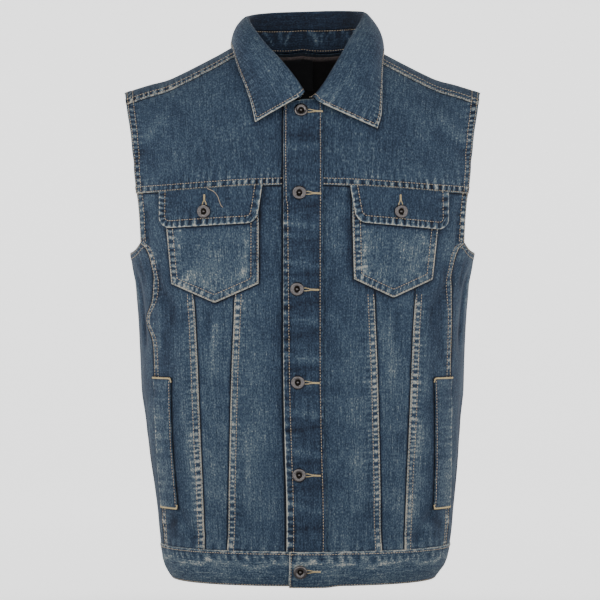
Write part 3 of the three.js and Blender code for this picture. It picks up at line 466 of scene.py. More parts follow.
# %% Washed denim and inside denim
def denim(name, colours, sheen):
    """colours: fade_and_shade from -1 to 1 and the colour there."""
    material, tree, shader, place = new_finish(
        name, Roughness=0.88, Specular_IOR_Level=0.22, Sheen_Weight=sheen, Sheen_Roughness=0.45)
    grain = node(tree, "ShaderNodeUVMap", uv_map="grain").outputs["UV"]

    def noise(vector, scale, detail, rough):
        inputs = {"Vector": vector, "Scale": scale, "Detail": detail, "Roughness": rough}
        return node(tree, "ShaderNodeTexNoise", inputs).outputs["Fac"]

    def stretched(across, along):
        """Grain coordinates with a pattern across mm wide and along mm long."""
        scale = (1 / (across * MM), 1 / (along * MM), 1)
        return node(tree, "ShaderNodeMapping", {"Vector": grain, "Scale": scale}).outputs["Vector"]

    def maths(kind, a, b, c=None):
        inputs = {0: a, 1: b}
        if c is not None:
            inputs[2] = c
        return node(tree, "ShaderNodeMath", inputs, operation=kind).outputs[0]

    streak = noise(stretched(1.6, 38), 1.0, 3.0, 0.6)  # warp yarns that wore along their length
    slub = noise(stretched(3.2, 11), 1.0, 3.0, 0.65)   # thick places in the yarn
    yarn = noise(stretched(1.5, 2.6), 1.0, 2.0, 0.6)   # the specks of single yarns
    cloud = noise(place, 22.0, 6.0, 0.7)               # blotches some 45 mm across
    twill = node(tree, "ShaderNodeTexWave",
                 {"Vector": stretched(1.5, 1.05), "Scale": 0.5, "Distortion": 0.9},
                 wave_type="BANDS", bands_direction="DIAGONAL").outputs["Fac"]
    total = node(tree, "ShaderNodeAttribute", attribute_name="fade_and_shade").outputs["Fac"]
    for pattern, strength in ((streak, 1.2), (slub, 0.9), (yarn, 2.2), (cloud, 1.0), (twill, 0.16)):
        total = maths("MULTIPLY_ADD", maths("SUBTRACT", pattern, 0.5), strength, total)
    ramp = node(tree, "ShaderNodeValToRGB", {"Fac": maths("MULTIPLY_ADD", total, 0.5, 0.5)})
    stops = ramp.color_ramp.elements
    while len(stops) < len(colours):
        stops.new(0.5)
    for stop, (at, code) in zip(stops, colours):
        stop.position, stop.color = (at + 1) / 2, paint(code)
    tree.links.new(ramp.outputs["Color"], shader.inputs["Base Color"])
    height = maths("MULTIPLY_ADD", twill, 0.35, maths("MULTIPLY_ADD", slub, 0.5, yarn))
    bump = node(tree, "ShaderNodeBump", {"Height": height, "Strength": 0.55, "Distance": 0.35 * MM})
    tree.links.new(bump.outputs["Normal"], shader.inputs["Normal"])
    return material


# Washed indigo twill: matt, blue where the warp still holds its dye, grey-cream where it is rubbed through
WASHED = denim("washed_indigo_denim", [
    (-1.0, "#090D17"), (-0.5, "#121D2D"), (-0.12, "#222F40"), (0.18, "#2F3E4D"), (0.55, "#505C63"),
    (1.0, "#93928A")], 0.02)
# The inner face of the cloth, painted nearly black: painted shade that keeps the inside of the vest dark
SHADED_INSIDE = denim("inside_denim_painted_dark", [
    (-1.0, "#14161B"), (-0.3, "#1B1F26"), (0.2, "#222831"), (1.0, "#38404B")], 0.0)
print("finishes:", WASHED.name, SHADED_INSIDE.name)

# %% [markdown]
# ## Body panels
# Below the yokes the front has three narrow panels on each side and the back has three wide ones, with a
# panel under each arm. Their long seams are flat-felled: one edge is folded over the other and sewn down
# twice, so a strip 9.5 mm wide stands up along it. A grid is the natural shape for such a panel. Its
# columns run along the grain and crowd together at the strip, where the form changes quickly.

# %% Creases, and rubbed places with painted light and shade, finer than the plain model's folds
CREASES = np.array([  # turn and height of both ends, half width and depth
    [52, -262, 60, -330, 5, -1.2], [57, -300, 58, -392, 5.5, 1.1], [70, -262, 67, -300, 5, -1.4],
    [84, -262, 80, -330, 6, 1.2], [97, -266, 99, -345, 6, -1.3], [60, -405, 66, -440, 5, -1.0],
    [44, -590, 56, -598, 5, 1.0], [35, -600, 50, -612, 4.5, -0.9], [68, -585, 78, -606, 5, 1.2],
    [28, -330, 30, -420, 7, 0.8], [37, -440, 40, -560, 7, -0.8], [17, -470, 18, -590, 7, 0.7],
    [112, -330, 118, -420, 7, 1.1], [150, -300, 157, -420, 9, -1.2], [128, -500, 122, -590, 8, 1.2],
    [174, -250, 171, -360, 8, 1.0], [160, -520, 155, -600, 8, 1.0], [145, -190, 156, -150, 7, 1.0],
    [50, -118, 66, -150, 7, -1.2], [38, -80, 58, -128, 8, 0.9], [120, -120, 134, -168, 8, -1.2],
    [57, -196, 59, -258, 5, -1.6], [61, -190, 62, -240, 4, 1.2], [31, -322, 31, -372, 4.5, -1.0],
    [47, -318, 50, -350, 5, -1.2], [12, -206, 13, -290, 5, -1.0], [55, -585, 66, -598, 5, -1.2],
    [79, -300, 76, -370, 5, -1.3], [88, -480, 84, -560, 7, -1.2], [94, -540, 98, -600, 6, 1.2],
    [108, -262, 117, -318, 5, -1.5], [117, -248, 131, -300, 6, 1.2], [103, -420, 109, -520, 7, -1.1],
    [124, -590, 141, -606, 5, -1.3], [147, -586, 163, -600, 6, 1.2], [166, -330, 160, -392, 8, -1.1],
    [139, -420, 148, -470, 7, -1.0], [172, -560, 168, -608, 6, 1.2], [118, -340, 127, -352, 5, 1.0]])
RUBBED_AND_SHADED = np.array([  # turn and height of both ends, half width, and how much paler than the rest, darker below 0: rubbing, and painted light and shade of the pose
    [54, -290, 54, -410, 24, -0.26], [42, -450, 42, -612, 11, 0.3], [62, -430, 66, -612, 16, 0.16],
    [60, -574, 60, -614, 16, -0.3], [33, -470, 33, -600, 12, 0.08], [6, -110, 6, -600, 14, -0.06],
    [150, -240, 150, -330, 30, 0.14], [130, -560, 160, -600, 20, 0.12], [172, -300, 176, -560, 34, 0.1]])
print(len(CREASES), "creases and", len(RUBBED_AND_SHADED), "rubbed places on each half of the body")

# %% [markdown]
# Every piece on the body is laid in the same way. Its height over the form is the sum of the long folds,
# the fine creases, its layer, its thickness and the bumps of its hems, and its wear follows the same
# things. Ridges of the folds and creases are made paler and their hollows darker, partly as rubbing and
# partly as painted light and shade.

# %% Laying a piece of cloth on the form
CLOTH = 1.6               # thickness of a single layer with its turned edges
ARC_HEIGHT = CHEST - 60   # where the way round the body is measured for the grain
CREASE_SHADE_AND_WEAR, FOLD_SHADE_AND_WEAR = 0.26, 0.05  # paler on ridges and darker in hollows, for a millimetre of height: rubbing, and painted light and shade

arc_turn = np.linspace(-180, 180, 721)
arc_points = form_point(arc_turn, np.full(len(arc_turn), ARC_HEIGHT - CHEST))
arc_length = np.concatenate([[0], np.cumsum(np.linalg.norm(np.diff(arc_points, axis=0), axis=1))])

def lay(name, turn, rise, base, thick, hems=(), fade_and_shade=0.0, relief=0.0, across_grain=False):
    """Lays a piece of cloth on the form: its relief, its wear with painted light and shade, and its grain.
    """
    point, outward = form_point(turn, rise), form_normal(turn, rise)
    fold = fold_depth(turn, point[..., 2], FOLDS)
    crease = fold_depth(turn, point[..., 2], CREASES)
    edges = edge_distances(point)
    along_of = {"left": edges["bottom"], "right": edges["bottom"],
                "bottom": edges["left"], "top": edges["left"]}
    height, wear_and_shade = np.zeros_like(rise) + relief, np.zeros_like(rise) + fade_and_shade
    for hem in hems:
        away = hem.get("away", edges.get(hem["edge"]))
        one, other = hem_effect(away, hem.get("along", along_of.get(hem["edge"])), hem)
        height, wear_and_shade = height + one, wear_and_shade + other
    nearest = np.minimum.reduce(list(edges.values()))
    height = height - 0.45 * np.exp(-(nearest / 0.45) ** 2)
    # Ridges of creases and folds are paler and their hollows darker: rubbing together with painted light and
    # shade.
    wear_and_shade = wear_and_shade + CREASE_SHADE_AND_WEAR * crease + FOLD_SHADE_AND_WEAR * fold + fold_depth(turn, point[..., 2], RUBBED_AND_SHADED)
    skin = point + outward * (fold + crease + base + thick + height)[..., None]
    lining = point + outward * (fold + crease + base)[..., None]
    round_body = np.interp((turn + 180) % 360 - 180, arc_turn, arc_length)
    upward = np.where(rise > 0, rise * RISE_MM, rise)
    grain = np.stack([upward, round_body] if across_grain else [round_body, upward], axis=-1)
    return cloth_wall(name, skin, lining, grain, wear_and_shade, outward, (WASHED, SHADED_INSIDE))


print("round the form below the chest:", round(arc_length[-1]), "mm")

# %% [markdown]
# A seam is a function that gives the turn at each rise. Two neighbours use the same one for their shared
# edge, so they meet along all of it with a hair's gap between them.

# %% Seam lines
GAP = 0.04                            # between neighbours
FRONT_SHIFT = 2.6                     # the whole front hangs a little to the wearer's left
FRONT_EDGE = {-1: 25.3, 1: 22.7}      # where the panels end under the button front, right and left
SIDES = ((-1, "right"), (1, "left"))
BOW, BOW_HEIGHT, BOW_HALF = 7, -340, 17  # degrees, mm, mm

def out_seam(column, side=0):
    """A long seam whose table gives its distance out from the middle at each height."""
    def seam(rise):
        height = CHEST + np.where(rise > 0, rise * RISE_MM, rise)
        out = read(SEAMS, column, height) + side * (FRONT_SHIFT - middle_at(rise))
        return turn_at(out, rise, column == BACK)
    return seam


def side_seam(column, armhole_column, side=1):
    """The side seam, then the armhole's edge. The right front one bows back under the arm."""
    def seam(rise):
        height = CHEST + np.minimum(rise, CORNER - CHEST)
        bowed = side < 0 and column == SIDE_FRONT
        bow = BOW * np.exp(-((height - BOW_HEIGHT) / BOW_HALF) ** 2) if bowed else 0
        edge = turn_at(read(ARMHOLE, armhole_column, rise), rise, column == SIDE_BACK)
        return np.where(rise > CORNER - CHEST, edge, read(SEAMS, column, height) + bow)
    return seam


def straight(out):
    """An edge that keeps one distance out from the middle."""
    return lambda rise: np.abs(turn_at(np.full_like(rise, out), rise))


def band_turn(out):
    """The turn at a distance out from the middle, at the top of the waistband."""
    return float(turn_at(np.array(float(out)), np.array(BAND_TOP - CHEST)))


back_seam, back_side_edge = out_seam(BACK), side_seam(SIDE_BACK, 2)
at_band = [float(out_seam(column, 1)(np.array(-420.0)).round(1)) for column in (INNER, OUTER)]
print("left front seams just above the band:", at_band, "degrees")

# %% [markdown]
# A panel's rows run across it from one seam to the other. The left end of the waistband is lifted where it
# lies over the right end, and there the panel behind it is tucked a little further down.

# %% A long panel
def to_rise(mm):
    """The rise at a length of cloth above or below the chest line."""
    return np.where(mm > 0, mm / RISE_MM, mm)


def panel(name, first, last, side, hems, top, fade_and_shade=0.0, extra=(), fine=2.2, tucked=0.0):
    """From the waistband up to a yoke. extra: places of steep form, in mm from its first or last edge."""
    rise = to_rise(stations(BAND_TOP - CHEST + GAP, top * RISE_MM - GAP, fine))
    middle = np.array([-210.0])
    width = np.linalg.norm(form_point(first(middle), middle) - form_point(last(middle), middle))
    share = stations(0, width, fine, [e if e > 0 else width + e for e in extra]) / width
    share, rise = np.meshgrid(share, rise)
    step = GAP / TURN_MM
    turn = side * ((first(rise) + step) * (1 - share) + (last(rise) - step) * share)
    behind_end = smooth((band_turn(56) - np.abs(turn)) / 2) * smooth((BAND_TOP + 10 - CHEST - rise) / 10)
    rise = rise - tucked * behind_end
    height = form_point(turn, rise)[..., 2]
    shown = [dict(hem, where=hem["where"](height)) if callable(hem.get("where")) else hem for hem in hems]
    return lay(name, turn, rise, 0.0, CLOTH, shown, fade_and_shade)


print("28 mm of cloth over the chest line:", to_rise(np.array(28.0)), "degrees")

# %% [markdown]
# A felled strip ends under a pocket, and an armhole's hem ends at the corner of the armhole. So a hem can
# have a function that says at which heights it is there.

# %% Hems of the panels
POCKET_FOOT = -309
WELT_TOP, WELT_FOOT = -412, -572

def below_pocket(height):
    return smooth((POCKET_FOOT - height) / 8)


def beside_welt(height):
    """The side strip is hidden behind the welt of the hand pocket."""
    return np.maximum(smooth((height - WELT_TOP - 4) / 6), smooth((WELT_FOOT - 5 - height) / 6))


def above_corner(height):
    return smooth((height - CORNER + 2) / 4)


def below_corner(height):
    return beside_welt(height) * smooth((CORNER - height + 2) / 4)


def shadow(edge):
    """A panel tucked under a felled strip: no rim, and a dark line where it goes under."""
    return {"edge": edge, "width": 1.2, "depth": 0.0, "rows": (1.0,), "rim": -1.5, "pale": 0.0}


STRIP = 9.5  # width of a felled strip
FELLED = {"width": STRIP, "raised": 0.9, "pitch": 7.0, "depth": 0.34, "pale": 0.62, "worn": 0.6,
          "dark": 1.25}
ARM_HEM = {"width": 12.0, "pitch": 7.6, "depth": 0.36, "pale": 0.6, "rows": (3.2, 10.8)}
# Puckers above the band, and a faint painted shadow along the edge that goes under it
ABOVE_BAND = {"edge": "bottom", "width": 1.0, "pitch": 13, "depth": 0.35, "rim": -0.3, "rows": (),
              "reach": 7}
# A painted shadow line where a piece goes under a yoke's strip, with faint puckers
SHADOW_UNDER_YOKE = {"edge": "top", "width": 1.0, "pitch": 9, "depth": 0.2, "pale": 0.35, "rim": -1.3,
              "rows": (1.0,)}
print("a felled strip is", STRIP, "mm wide, an armhole's hem", ARM_HEM["width"], "mm")

# %% [markdown]
# At each seam only one of the two panels carries the strip and the other is tucked under it, as the real
# cloth is folded. Seams that lie side by side have different seeds, so they don't pucker alike.

# %% Front and back panels
for side, word in SIDES:
    seed = 2.0 + side
    inner_seam, outer_seam = out_seam(INNER, side), out_seam(OUTER, side)
    panel(f"front_centre_{word}", straight(FRONT_EDGE[side]), inner_seam, side,
          [dict(FELLED, edge="right", where=below_pocket, seed=seed), ABOVE_BAND, SHADOW_UNDER_YOKE],
          YOKE_RISE, extra=(-STRIP,), tucked=4.0 if side > 0 else 0.0)
    panel(f"front_middle_{word}", inner_seam, outer_seam, side,
          [shadow("left"), shadow("right"), ABOVE_BAND, SHADOW_UNDER_YOKE], YOKE_RISE, fade_and_shade=0.04)
    panel(f"front_side_{word}", outer_seam, side_seam(SIDE_FRONT, 1, side), side,
          [dict(FELLED, edge="left", where=below_pocket, seed=seed + 3),
           dict(ARM_HEM, edge="right", where=above_corner, seed=seed + 5),
           dict(FELLED, edge="right", where=below_corner, raised=0.3, seed=seed + 7),
           ABOVE_BAND, SHADOW_UNDER_YOKE], YOKE_RISE, extra=(STRIP, -STRIP))
    panel(f"back_side_{word}", back_side_edge, back_seam, side,
          [dict(FELLED, edge="right", seed=seed + 9),
           dict(ARM_HEM, edge="left", where=above_corner, seed=seed + 2), ABOVE_BAND, SHADOW_UNDER_YOKE],
          BACK_YOKE_RISE, extra=(-STRIP,), fine=3.0)

panel("back_centre", back_seam, lambda rise: 360 - back_seam(rise), 1,
      [shadow("left"), shadow("right"), ABOVE_BAND, SHADOW_UNDER_YOKE], BACK_YOKE_RISE, fine=3.0)
print("front and back panels:", len(cloth_pieces))

# %% [markdown]
# The panel under the arm ends in the foot of the armhole, which is a shallow curve. So its upper rows are
# squeezed down, more in the middle of the panel than at its seams.

# %% Panels under the arms
SQUEEZED_FROM, SIDE_WIDTH = -338, 110

def armhole_foot(turn):
    return FOOT + (CORNER - FOOT) * (np.abs(np.abs(turn) - 90) / 25) ** 4


def side_panel(name, side):
    share, height = np.meshgrid(stations(0, SIDE_WIDTH) / SIDE_WIDTH, stations(BAND_TOP + GAP, CORNER))
    rise, step = height - CHEST, GAP / TURN_MM
    front_seam, rear_seam = side_seam(SIDE_FRONT, 1, side)(rise), back_side_edge(rise)
    turn = (front_seam + step) * (1 - share) + (rear_seam - step) * share
    above = height - SQUEEZED_FROM
    shrink = np.minimum((armhole_foot(turn) - SQUEEZED_FROM) / (CORNER - SQUEEZED_FROM), 1)
    fitted = np.where(above > 0, SQUEEZED_FROM + above * shrink, height) - CHEST
    hems = [shadow("left"), shadow("right"), dict(ARM_HEM, edge="top", seed=4.0 * side), ABOVE_BAND]
    lay(name, side * turn, fitted, 0.0, CLOTH, hems, fade_and_shade=-0.02)


for side, word in SIDES:
    side_panel(f"side_panel_{word}", side)
print("body panels:", len(cloth_pieces))

# %% [markdown]
# ## Yokes
# The yokes carry the vest on the shoulders. The back one comes over the shoulder and meets the front ones
# at a seam that lies on the front of the shoulder. Both overlap the panels below with a felled strip. The
# back yoke's grid runs from its seam over the ridge: its upper edge first follows the neck, then that seam.

# %% Neck curve
NECK_HALF, NECK_FRONT, NECK_BACK = 80.0, 54.4, 25.8  # mm out, then degrees down in front and behind
CLEAR = 2.5                                          # the cloth is cut this far outside the neck seam
CUT_HALF, CUT_FRONT, CUT_BACK = NECK_HALF + CLEAR, NECK_FRONT + CLEAR / RISE_MM, NECK_BACK + CLEAR / RISE_MM

def neck_rise(out):
    """The front neck curve is half an ellipse. Its rise at a distance out."""
    return 90 - CUT_FRONT * np.sqrt(1 - (out / CUT_HALF) ** 2)


def neck_out(rise):
    """How far out the same curve is at a rise."""
    return CUT_HALF * np.sqrt(np.maximum(1 - ((90 - rise) / CUT_FRONT) ** 2, 0))


def neck_edge(angle, clear=0.0):
    """The neck curve by its angle, 0 in front and 180 behind: distance out and way over the shoulder."""
    cosine = np.cos(np.radians(angle))
    drop = np.where(cosine > 0, NECK_FRONT, NECK_BACK) + clear / RISE_MM
    return (NECK_HALF + clear) * np.sin(np.radians(angle)), 90 + drop * cosine


print("front neck at the middle:", float(neck_rise(np.array(0.0)).round(1)), "degrees up")

# %% [markdown]
# A front yoke goes from the felled seam over the pockets up to the forward shoulder seam. Its inner edge
# runs straight up beside the button front and then follows the neck.

# %% Front yokes
SEAM_AT_NECK, SEAM_AT_ARM = 66.5, 61.4       # rise of the forward shoulder seam
FRONT_YOKE_WIDTH, SLANTS_FROM = 190, 12.0    # its rows slant towards that seam from this rise on
YOKE_HEM = dict(FELLED, worn=0.2, dark=1.7)

def front_yoke(name, side):
    in_front, span = FRONT_EDGE[side], SEAM_AT_NECK - SLANTS_FROM
    mm = stations(YOKE_RISE * RISE_MM + GAP, SEAM_AT_NECK * RISE_MM - GAP, 2.4, (STRIP,))
    share, level = np.meshgrid(stations(0, FRONT_YOKE_WIDTH, 2.4) / FRONT_YOKE_WIDTH, mm / RISE_MM)
    top = SEAM_AT_NECK + (SEAM_AT_ARM - SEAM_AT_NECK) * share - GAP / RISE_MM
    slanted = SLANTS_FROM + (level - SLANTS_FROM) * (top - SLANTS_FROM) / span
    rise = np.where(level > SLANTS_FROM, slanted, level)
    inner = np.where(level > neck_rise(in_front), np.maximum(neck_out(rise), in_front), in_front)
    out = inner + (read(ARMHOLE, 1, rise) - inner) * share
    lay(name, side * turn_at(out, rise), rise, 0.0, CLOTH,
        [dict(YOKE_HEM, edge="bottom", seed=6 + side, pitch=8.5, pale=0.75, reach=9),
         dict(ARM_HEM, edge="right", seed=3 * side), SHADOW_UNDER_YOKE], -0.04)


front_yoke("front_yoke_right", -1)
front_yoke("front_yoke_left", 1)
print("with the front yokes:", len(cloth_pieces), "pieces")

# %% [markdown]
# The back yoke needs a measure that goes on over the shoulder: 0 degrees is level at the back, 90 the top
# of the ridge and 180 level in front. Both halves of its grid are the same, mirrored about the middle.

# %% Back yoke
BACK_YOKE_LENGTH = 235.0
NECK_POINTS, SEAM_POINTS = 56, 50

def over_shoulder(out, over):
    """Turn and rise of a place over the shoulder."""
    behind = over <= 90
    rise = np.where(behind, over, 180 - over)
    return turn_at(out, rise, behind), rise


def arm_over(over):
    """How far out the armhole's edge is."""
    behind = over <= 90
    rise = np.where(behind, over, 180 - over)
    return np.where(behind, read(ARMHOLE, 2, rise), read(ARMHOLE, 1, rise))


def both(half):
    """A row for the whole width from one for its left half."""
    return np.concatenate([half[:0:-1], half])


def back_yoke():
    seam_angle = math.degrees(math.acos((90 - SEAM_AT_NECK) / CUT_FRONT))
    neck_top_out, neck_top_over = neck_edge(np.linspace(180, seam_angle, NECK_POINTS), CLEAR)
    share = np.concatenate([np.linspace(0, 1, SEAM_POINTS)[1:-1], [0.995, 0.998, 1.0]])
    rise = SEAM_AT_NECK + (SEAM_AT_ARM - SEAM_AT_NECK) * share
    start = float(neck_out(np.array(SEAM_AT_NECK)))
    seam_out = start + (read(ARMHOLE, 1, rise) - start) * share
    top_out = np.concatenate([neck_top_out, seam_out])
    top_over = np.concatenate([neck_top_over, 180 - rise])
    column = np.arange(len(top_out))
    foot = np.interp(column, [0, 40, 55, 60, 102, 105], [0, 0.35, 0.43, 0.46, 0.985, 1.0])
    top_share = top_out / arm_over(top_over)
    signs = np.concatenate([-np.ones(len(foot) - 1), np.ones(len(foot))])
    strips = (STRIP, BACK_YOKE_LENGTH - STRIP)
    level = (stations(0, BACK_YOKE_LENGTH, 3.0, strips) / BACK_YOKE_LENGTH)[:, None]
    over = (BACK_YOKE_RISE + GAP / RISE_MM) * (1 - level) + (both(top_over) - GAP / RISE_MM) * level
    out = (both(foot) * (1 - level**3) + both(top_share) * level**3) * arm_over(over)
    turn, rise = over_shoulder(signs * out, over)
    shoulder = np.broadcast_to(smooth((both(column) - NECK_POINTS + 2) / 3), over.shape)
    lay("back_yoke", turn, rise, 0.0, CLOTH,
        [dict(YOKE_HEM, edge="bottom", seed=2.2, pitch=8.5, pale=0.7, reach=8),
         dict(YOKE_HEM, edge="top", seed=1.0, pitch=8.0, pale=0.75, where=shoulder),
         dict(ARM_HEM, edge="left", seed=2.0), dict(ARM_HEM, edge="right", seed=5.0)])


back_yoke()
print("with the back yoke:", len(cloth_pieces), "pieces")

# %% [markdown]
# ## Button front
# The wearer's left front ends in a placket that lies over a plain stand on the right front. It is a strip
# of doubled cloth 48 mm wide whose upper corner is rounded. Each fastened button pulls at it, so small
# creases run across it between the buttons. They are placed one by one, because even spacing would look
# like a print.

# %% Stand and placket
PLACKET_EDGE, PLACKET_SEAM, STAND_SEAM, STAND_EDGE = -23.0, 25.0, -25.2, 22.4  # mm to the wearer's left
PLACKET_BASE, PLACKET_THICK = 2.0, 2.6
ACROSS = np.array([  # height at the left edge, at the right edge, half width, depth
    [-113, -118, 3.0, -0.7], [-132, -127, 4.2, 0.8], [-158, -163, 3.0, -0.8], [-205, -198, 3.2, -0.8],
    [-221, -226, 4.4, 0.9], [-246, -242, 3.4, -0.6], [-268, -276, 4.2, 0.7], [-286, -283, 3.0, -0.8],
    [-322, -316, 3.2, -0.8], [-338, -342, 4.5, 0.9], [-361, -356, 3.4, -0.8], [-384, -389, 4.2, 0.9],
    [-400, -397, 3.0, -0.8], [-431, -427, 3.0, -0.8], [-449, -456, 4.5, 1.0], [-475, -468, 3.2, -0.8],
    [-497, -503, 4.0, 0.9], [-514, -511, 3.0, -0.8], [-545, -541, 3.2, -0.7], [-566, -573, 4.6, 0.8],
    [-596, -590, 4.0, -0.7]])
CORNER_WIDE, CORNER_HIGH = 28.0, 17.0
FRONT_LENGTH = 540

def front_strip(name, outs, base, thick, rounded, hems, fade_and_shade):
    """rounded: 1 for the placket with its rounded corner, 0 for the stand."""
    in_corner = np.clip(1 - (outs - PLACKET_EDGE) / CORNER_WIDE, 0, 1) * rounded
    top = neck_rise(outs) - CORNER_HIGH * (1 - np.sqrt(1 - in_corner**2)) / RISE_MM
    share = stations(0, FRONT_LENGTH)[:, None] / FRONT_LENGTH
    bottom = BAND_TOP - CHEST + GAP
    rise = to_rise(bottom + (top * RISE_MM - bottom) * share)
    out = np.broadcast_to(outs, rise.shape)
    turn = turn_at(out, rise)
    height = form_point(turn, rise)[..., 2]
    relief = np.zeros_like(rise)
    for left, right, half, deep in ACROSS:
        middle = left + (right - left) * (out - PLACKET_EDGE) / (PLACKET_SEAM - PLACKET_EDGE)
        relief += deep * np.exp(-((height - middle) / half) ** 2) * smooth((PLACKET_SEAM + 1 - out) / 9)
    relief *= 1.0 if rounded else 0.3
    # The creases across the placket and the stand are paler on their ridges and darker in their hollows:
    # rubbing, and painted light and shade.
    lay(name, turn, rise, base, thick, hems, fade_and_shade + 0.34 * relief, 0.8 * relief)


FOLDED_EDGE = {"edge": "left", "width": 8.6, "pitch": 9.0, "depth": 0.34, "pale": 0.55, "rows": (8.6,),
               "seed": 1.0, "rim": 2.1}
SEWN_EDGE = {"edge": "right", "width": 4.2, "pitch": 9.0, "depth": 0.2, "pale": 0.3, "rows": (4.0,),
             "seed": 2.6, "rim": 0.1}
NECK_END = {"edge": "top", "width": 2.4, "depth": 0.0, "pale": 0.2, "rows": (), "rim": 0.9}
front_strip("button_stand", stations(STAND_SEAM, STAND_EDGE), 0.0, CLOTH, 0, [shadow("left")], -0.2)
front_strip("placket", stations(PLACKET_EDGE, PLACKET_SEAM, 2.6), PLACKET_BASE, PLACKET_THICK, 1,
            [FOLDED_EDGE, SEWN_EDGE, NECK_END], -0.2)
print("placket:", PLACKET_SEAM - PLACKET_EDGE, "mm wide, with", len(ACROSS), "creases across")

# %% [markdown]
# ## Pockets
# Each chest pocket is a patch with a pointed foot under a flap with rounded corners. A patch isn't a simple
# strip: its wear follows its whole outline round the corners. So the distance that drives the bumps is
# measured from the outline itself, to the nearest of its points, and not along rows or columns.

# %% Distance from an outline
POCKET_SIDES, ALL_SIDES = ("left", "bottom", "right"), ("left", "bottom", "right", "top")
OUTLINE_STEP = 0.6

def outline_of(points, sides=POCKET_SIDES):
    """The free edge of a grid as one line, and how far along it each point is."""
    runs = {"left": points[::-1, 0], "bottom": points[0], "right": points[:, -1], "top": points[-1, ::-1]}
    line = np.concatenate([runs[s] if i == 0 else runs[s][1:] for i, s in enumerate(sides)])
    steps = np.linalg.norm(np.diff(line, axis=0), axis=1)
    along = np.concatenate([[0], np.cumsum(steps)])
    fine = np.arange(0, along[-1], OUTLINE_STEP)
    return np.stack([np.interp(fine, along, line[:, i]) for i in range(3)], axis=-1), fine


def from_outline(points, line, along):
    """Distance of each point from the line, and the place along the line that is nearest."""
    away = np.linalg.norm(points[:, :, None] - line[None, None], axis=-1)
    nearest = away.argmin(axis=2)
    return away.min(axis=2), along[nearest]


def outlined(name, turn, rise, base, thick, hem, fade_and_shade, relief):
    """Lays a piece whose hem follows its whole outline."""
    point = form_point(turn, rise)
    away, along = from_outline(point, *outline_of(point))
    lay(name, turn, rise, base, thick, [dict(hem, edge="outline", away=away, along=along)], fade_and_shade, relief)
    cloth_pieces[name]["outline"] = away, along


print("an outline is a row of points", OUTLINE_STEP, "mm apart")

# %% [markdown]
# The wearer's hands rub a patch beside its seams and above its foot. The two patches and the two flaps
# aren't alike on the real vest, so each has its own row of sizes.

# %% Chest pockets
PATCH_BASE = 2.0
PATCH_WIDTH, PATCH_LENGTH, PATCH_TOP = 110, 117, -187
POCKETS = {  # heights of corner and point; inner edge at the top and the foot; outer edge at both
    "right": (-295, -318.5, 53, 53.2, 169.5, 159.5), "left": (-289.5, -312, 60, 62.5, 169.5, 158.5)}
PATCH_HEM = {"pitch": 7.6, "depth": 0.36, "rows": (1.6, 9.2), "rim": 1.2}

def patch(name, side, corner, point, inner_top, inner_foot, outer_top, outer_foot):
    share, down = np.meshgrid(stations(0, PATCH_WIDTH, 2.6) / PATCH_WIDTH,
                              1 - stations(0, PATCH_LENGTH, 2.6) / PATCH_LENGTH)
    inner = inner_top + (inner_foot - inner_top) * down
    outer = outer_top + (outer_foot - outer_top) * down
    out, aside = inner + (outer - inner) * share, np.abs(2 * share - 1)
    height = PATCH_TOP + (corner + (point - corner) * (1 - aside) - PATCH_TOP) * down
    rise = rise_at(height, out)
    beside = np.exp(-((aside - 0.72) / 0.12) ** 2)
    above_foot = np.exp(-((down - 0.83) / 0.09) ** 2) * smooth((0.95 - aside) / 0.2)
    mottle = 0.5 + 0.5 * np.sin(out / 4.7 + 2 * np.sin(height / 9.0 + side)) * np.sin(height / 5.9 + side)
    outlined(name, side * turn_at(out, rise), rise, PATCH_BASE, CLOTH, dict(PATCH_HEM, seed=3 + side),
             0.14 + (0.45 * beside + 0.38 * above_foot) * (mottle - 0.2),
             0.9 * np.sin(np.pi * share) * np.sin(np.pi * down))


print("chest pockets: points at", [sizes[1] for sizes in POCKETS.values()], "mm")

# %% [markdown]
# A flap is two layers of cloth with rounded lower corners. It starts just under the yoke's seam and covers
# the top of its pocket. One row of stitches runs round it.

# %% Pocket flaps
FLAP_BASE, FLAP_THICK, FLAP_CORNER = 4.2, 2.0, 14.0
FLAP_WIDTH, FLAP_LENGTH = 119, 48
FLAPS = {  # inner edge at the top and the foot, outer edge, heights of the foot at the inner and outer edge
    "right": (48.5, 53.5, 173.5, -221, -227), "left": (57.5, 63, 177, -220, -229)}
FLAP_HEM = {"width": 8.7, "pitch": 8.3, "depth": 0.42, "pale": 0.6, "rows": (8.7,), "rim": 1.2}

def flap(name, side, inner_top, inner_foot, outer, inner_height, outer_height):
    share, level = np.meshgrid(stations(0, FLAP_WIDTH, 2.4) / FLAP_WIDTH,
                               1 - stations(0, FLAP_LENGTH, 2.4) / FLAP_LENGTH)
    inner = inner_top + (inner_foot - inner_top) * level
    out = inner + (outer - inner) * share
    in_corner = np.maximum(FLAP_CORNER - np.minimum(share, 1 - share) * (outer - inner_foot), 0)
    foot = inner_height + (outer_height - inner_height) * share
    foot = foot + FLAP_CORNER - np.sqrt(FLAP_CORNER**2 - in_corner**2)
    top = YOKE_RISE * RISE_MM - 0.3  # just under the yoke's seam
    foot_mm = np.where(foot > CHEST, rise_at(foot, out) * RISE_MM, foot - CHEST)
    rise = to_rise(top + (foot_mm - top) * level)
    outlined(name, side * turn_at(out, rise), rise, FLAP_BASE, FLAP_THICK,
             dict(FLAP_HEM, seed=5 + 2 * side), -0.12, 0.8 * np.sin(np.pi * share) * level)


print("flaps: outer edges", [sizes[2] for sizes in FLAPS.values()], "mm out")

# %% [markdown]
# A hand pocket shows only its welt, a narrow upright strip whose outer edge lies on the side seam. It
# leans: its inner edge is a little nearer the side at its foot.

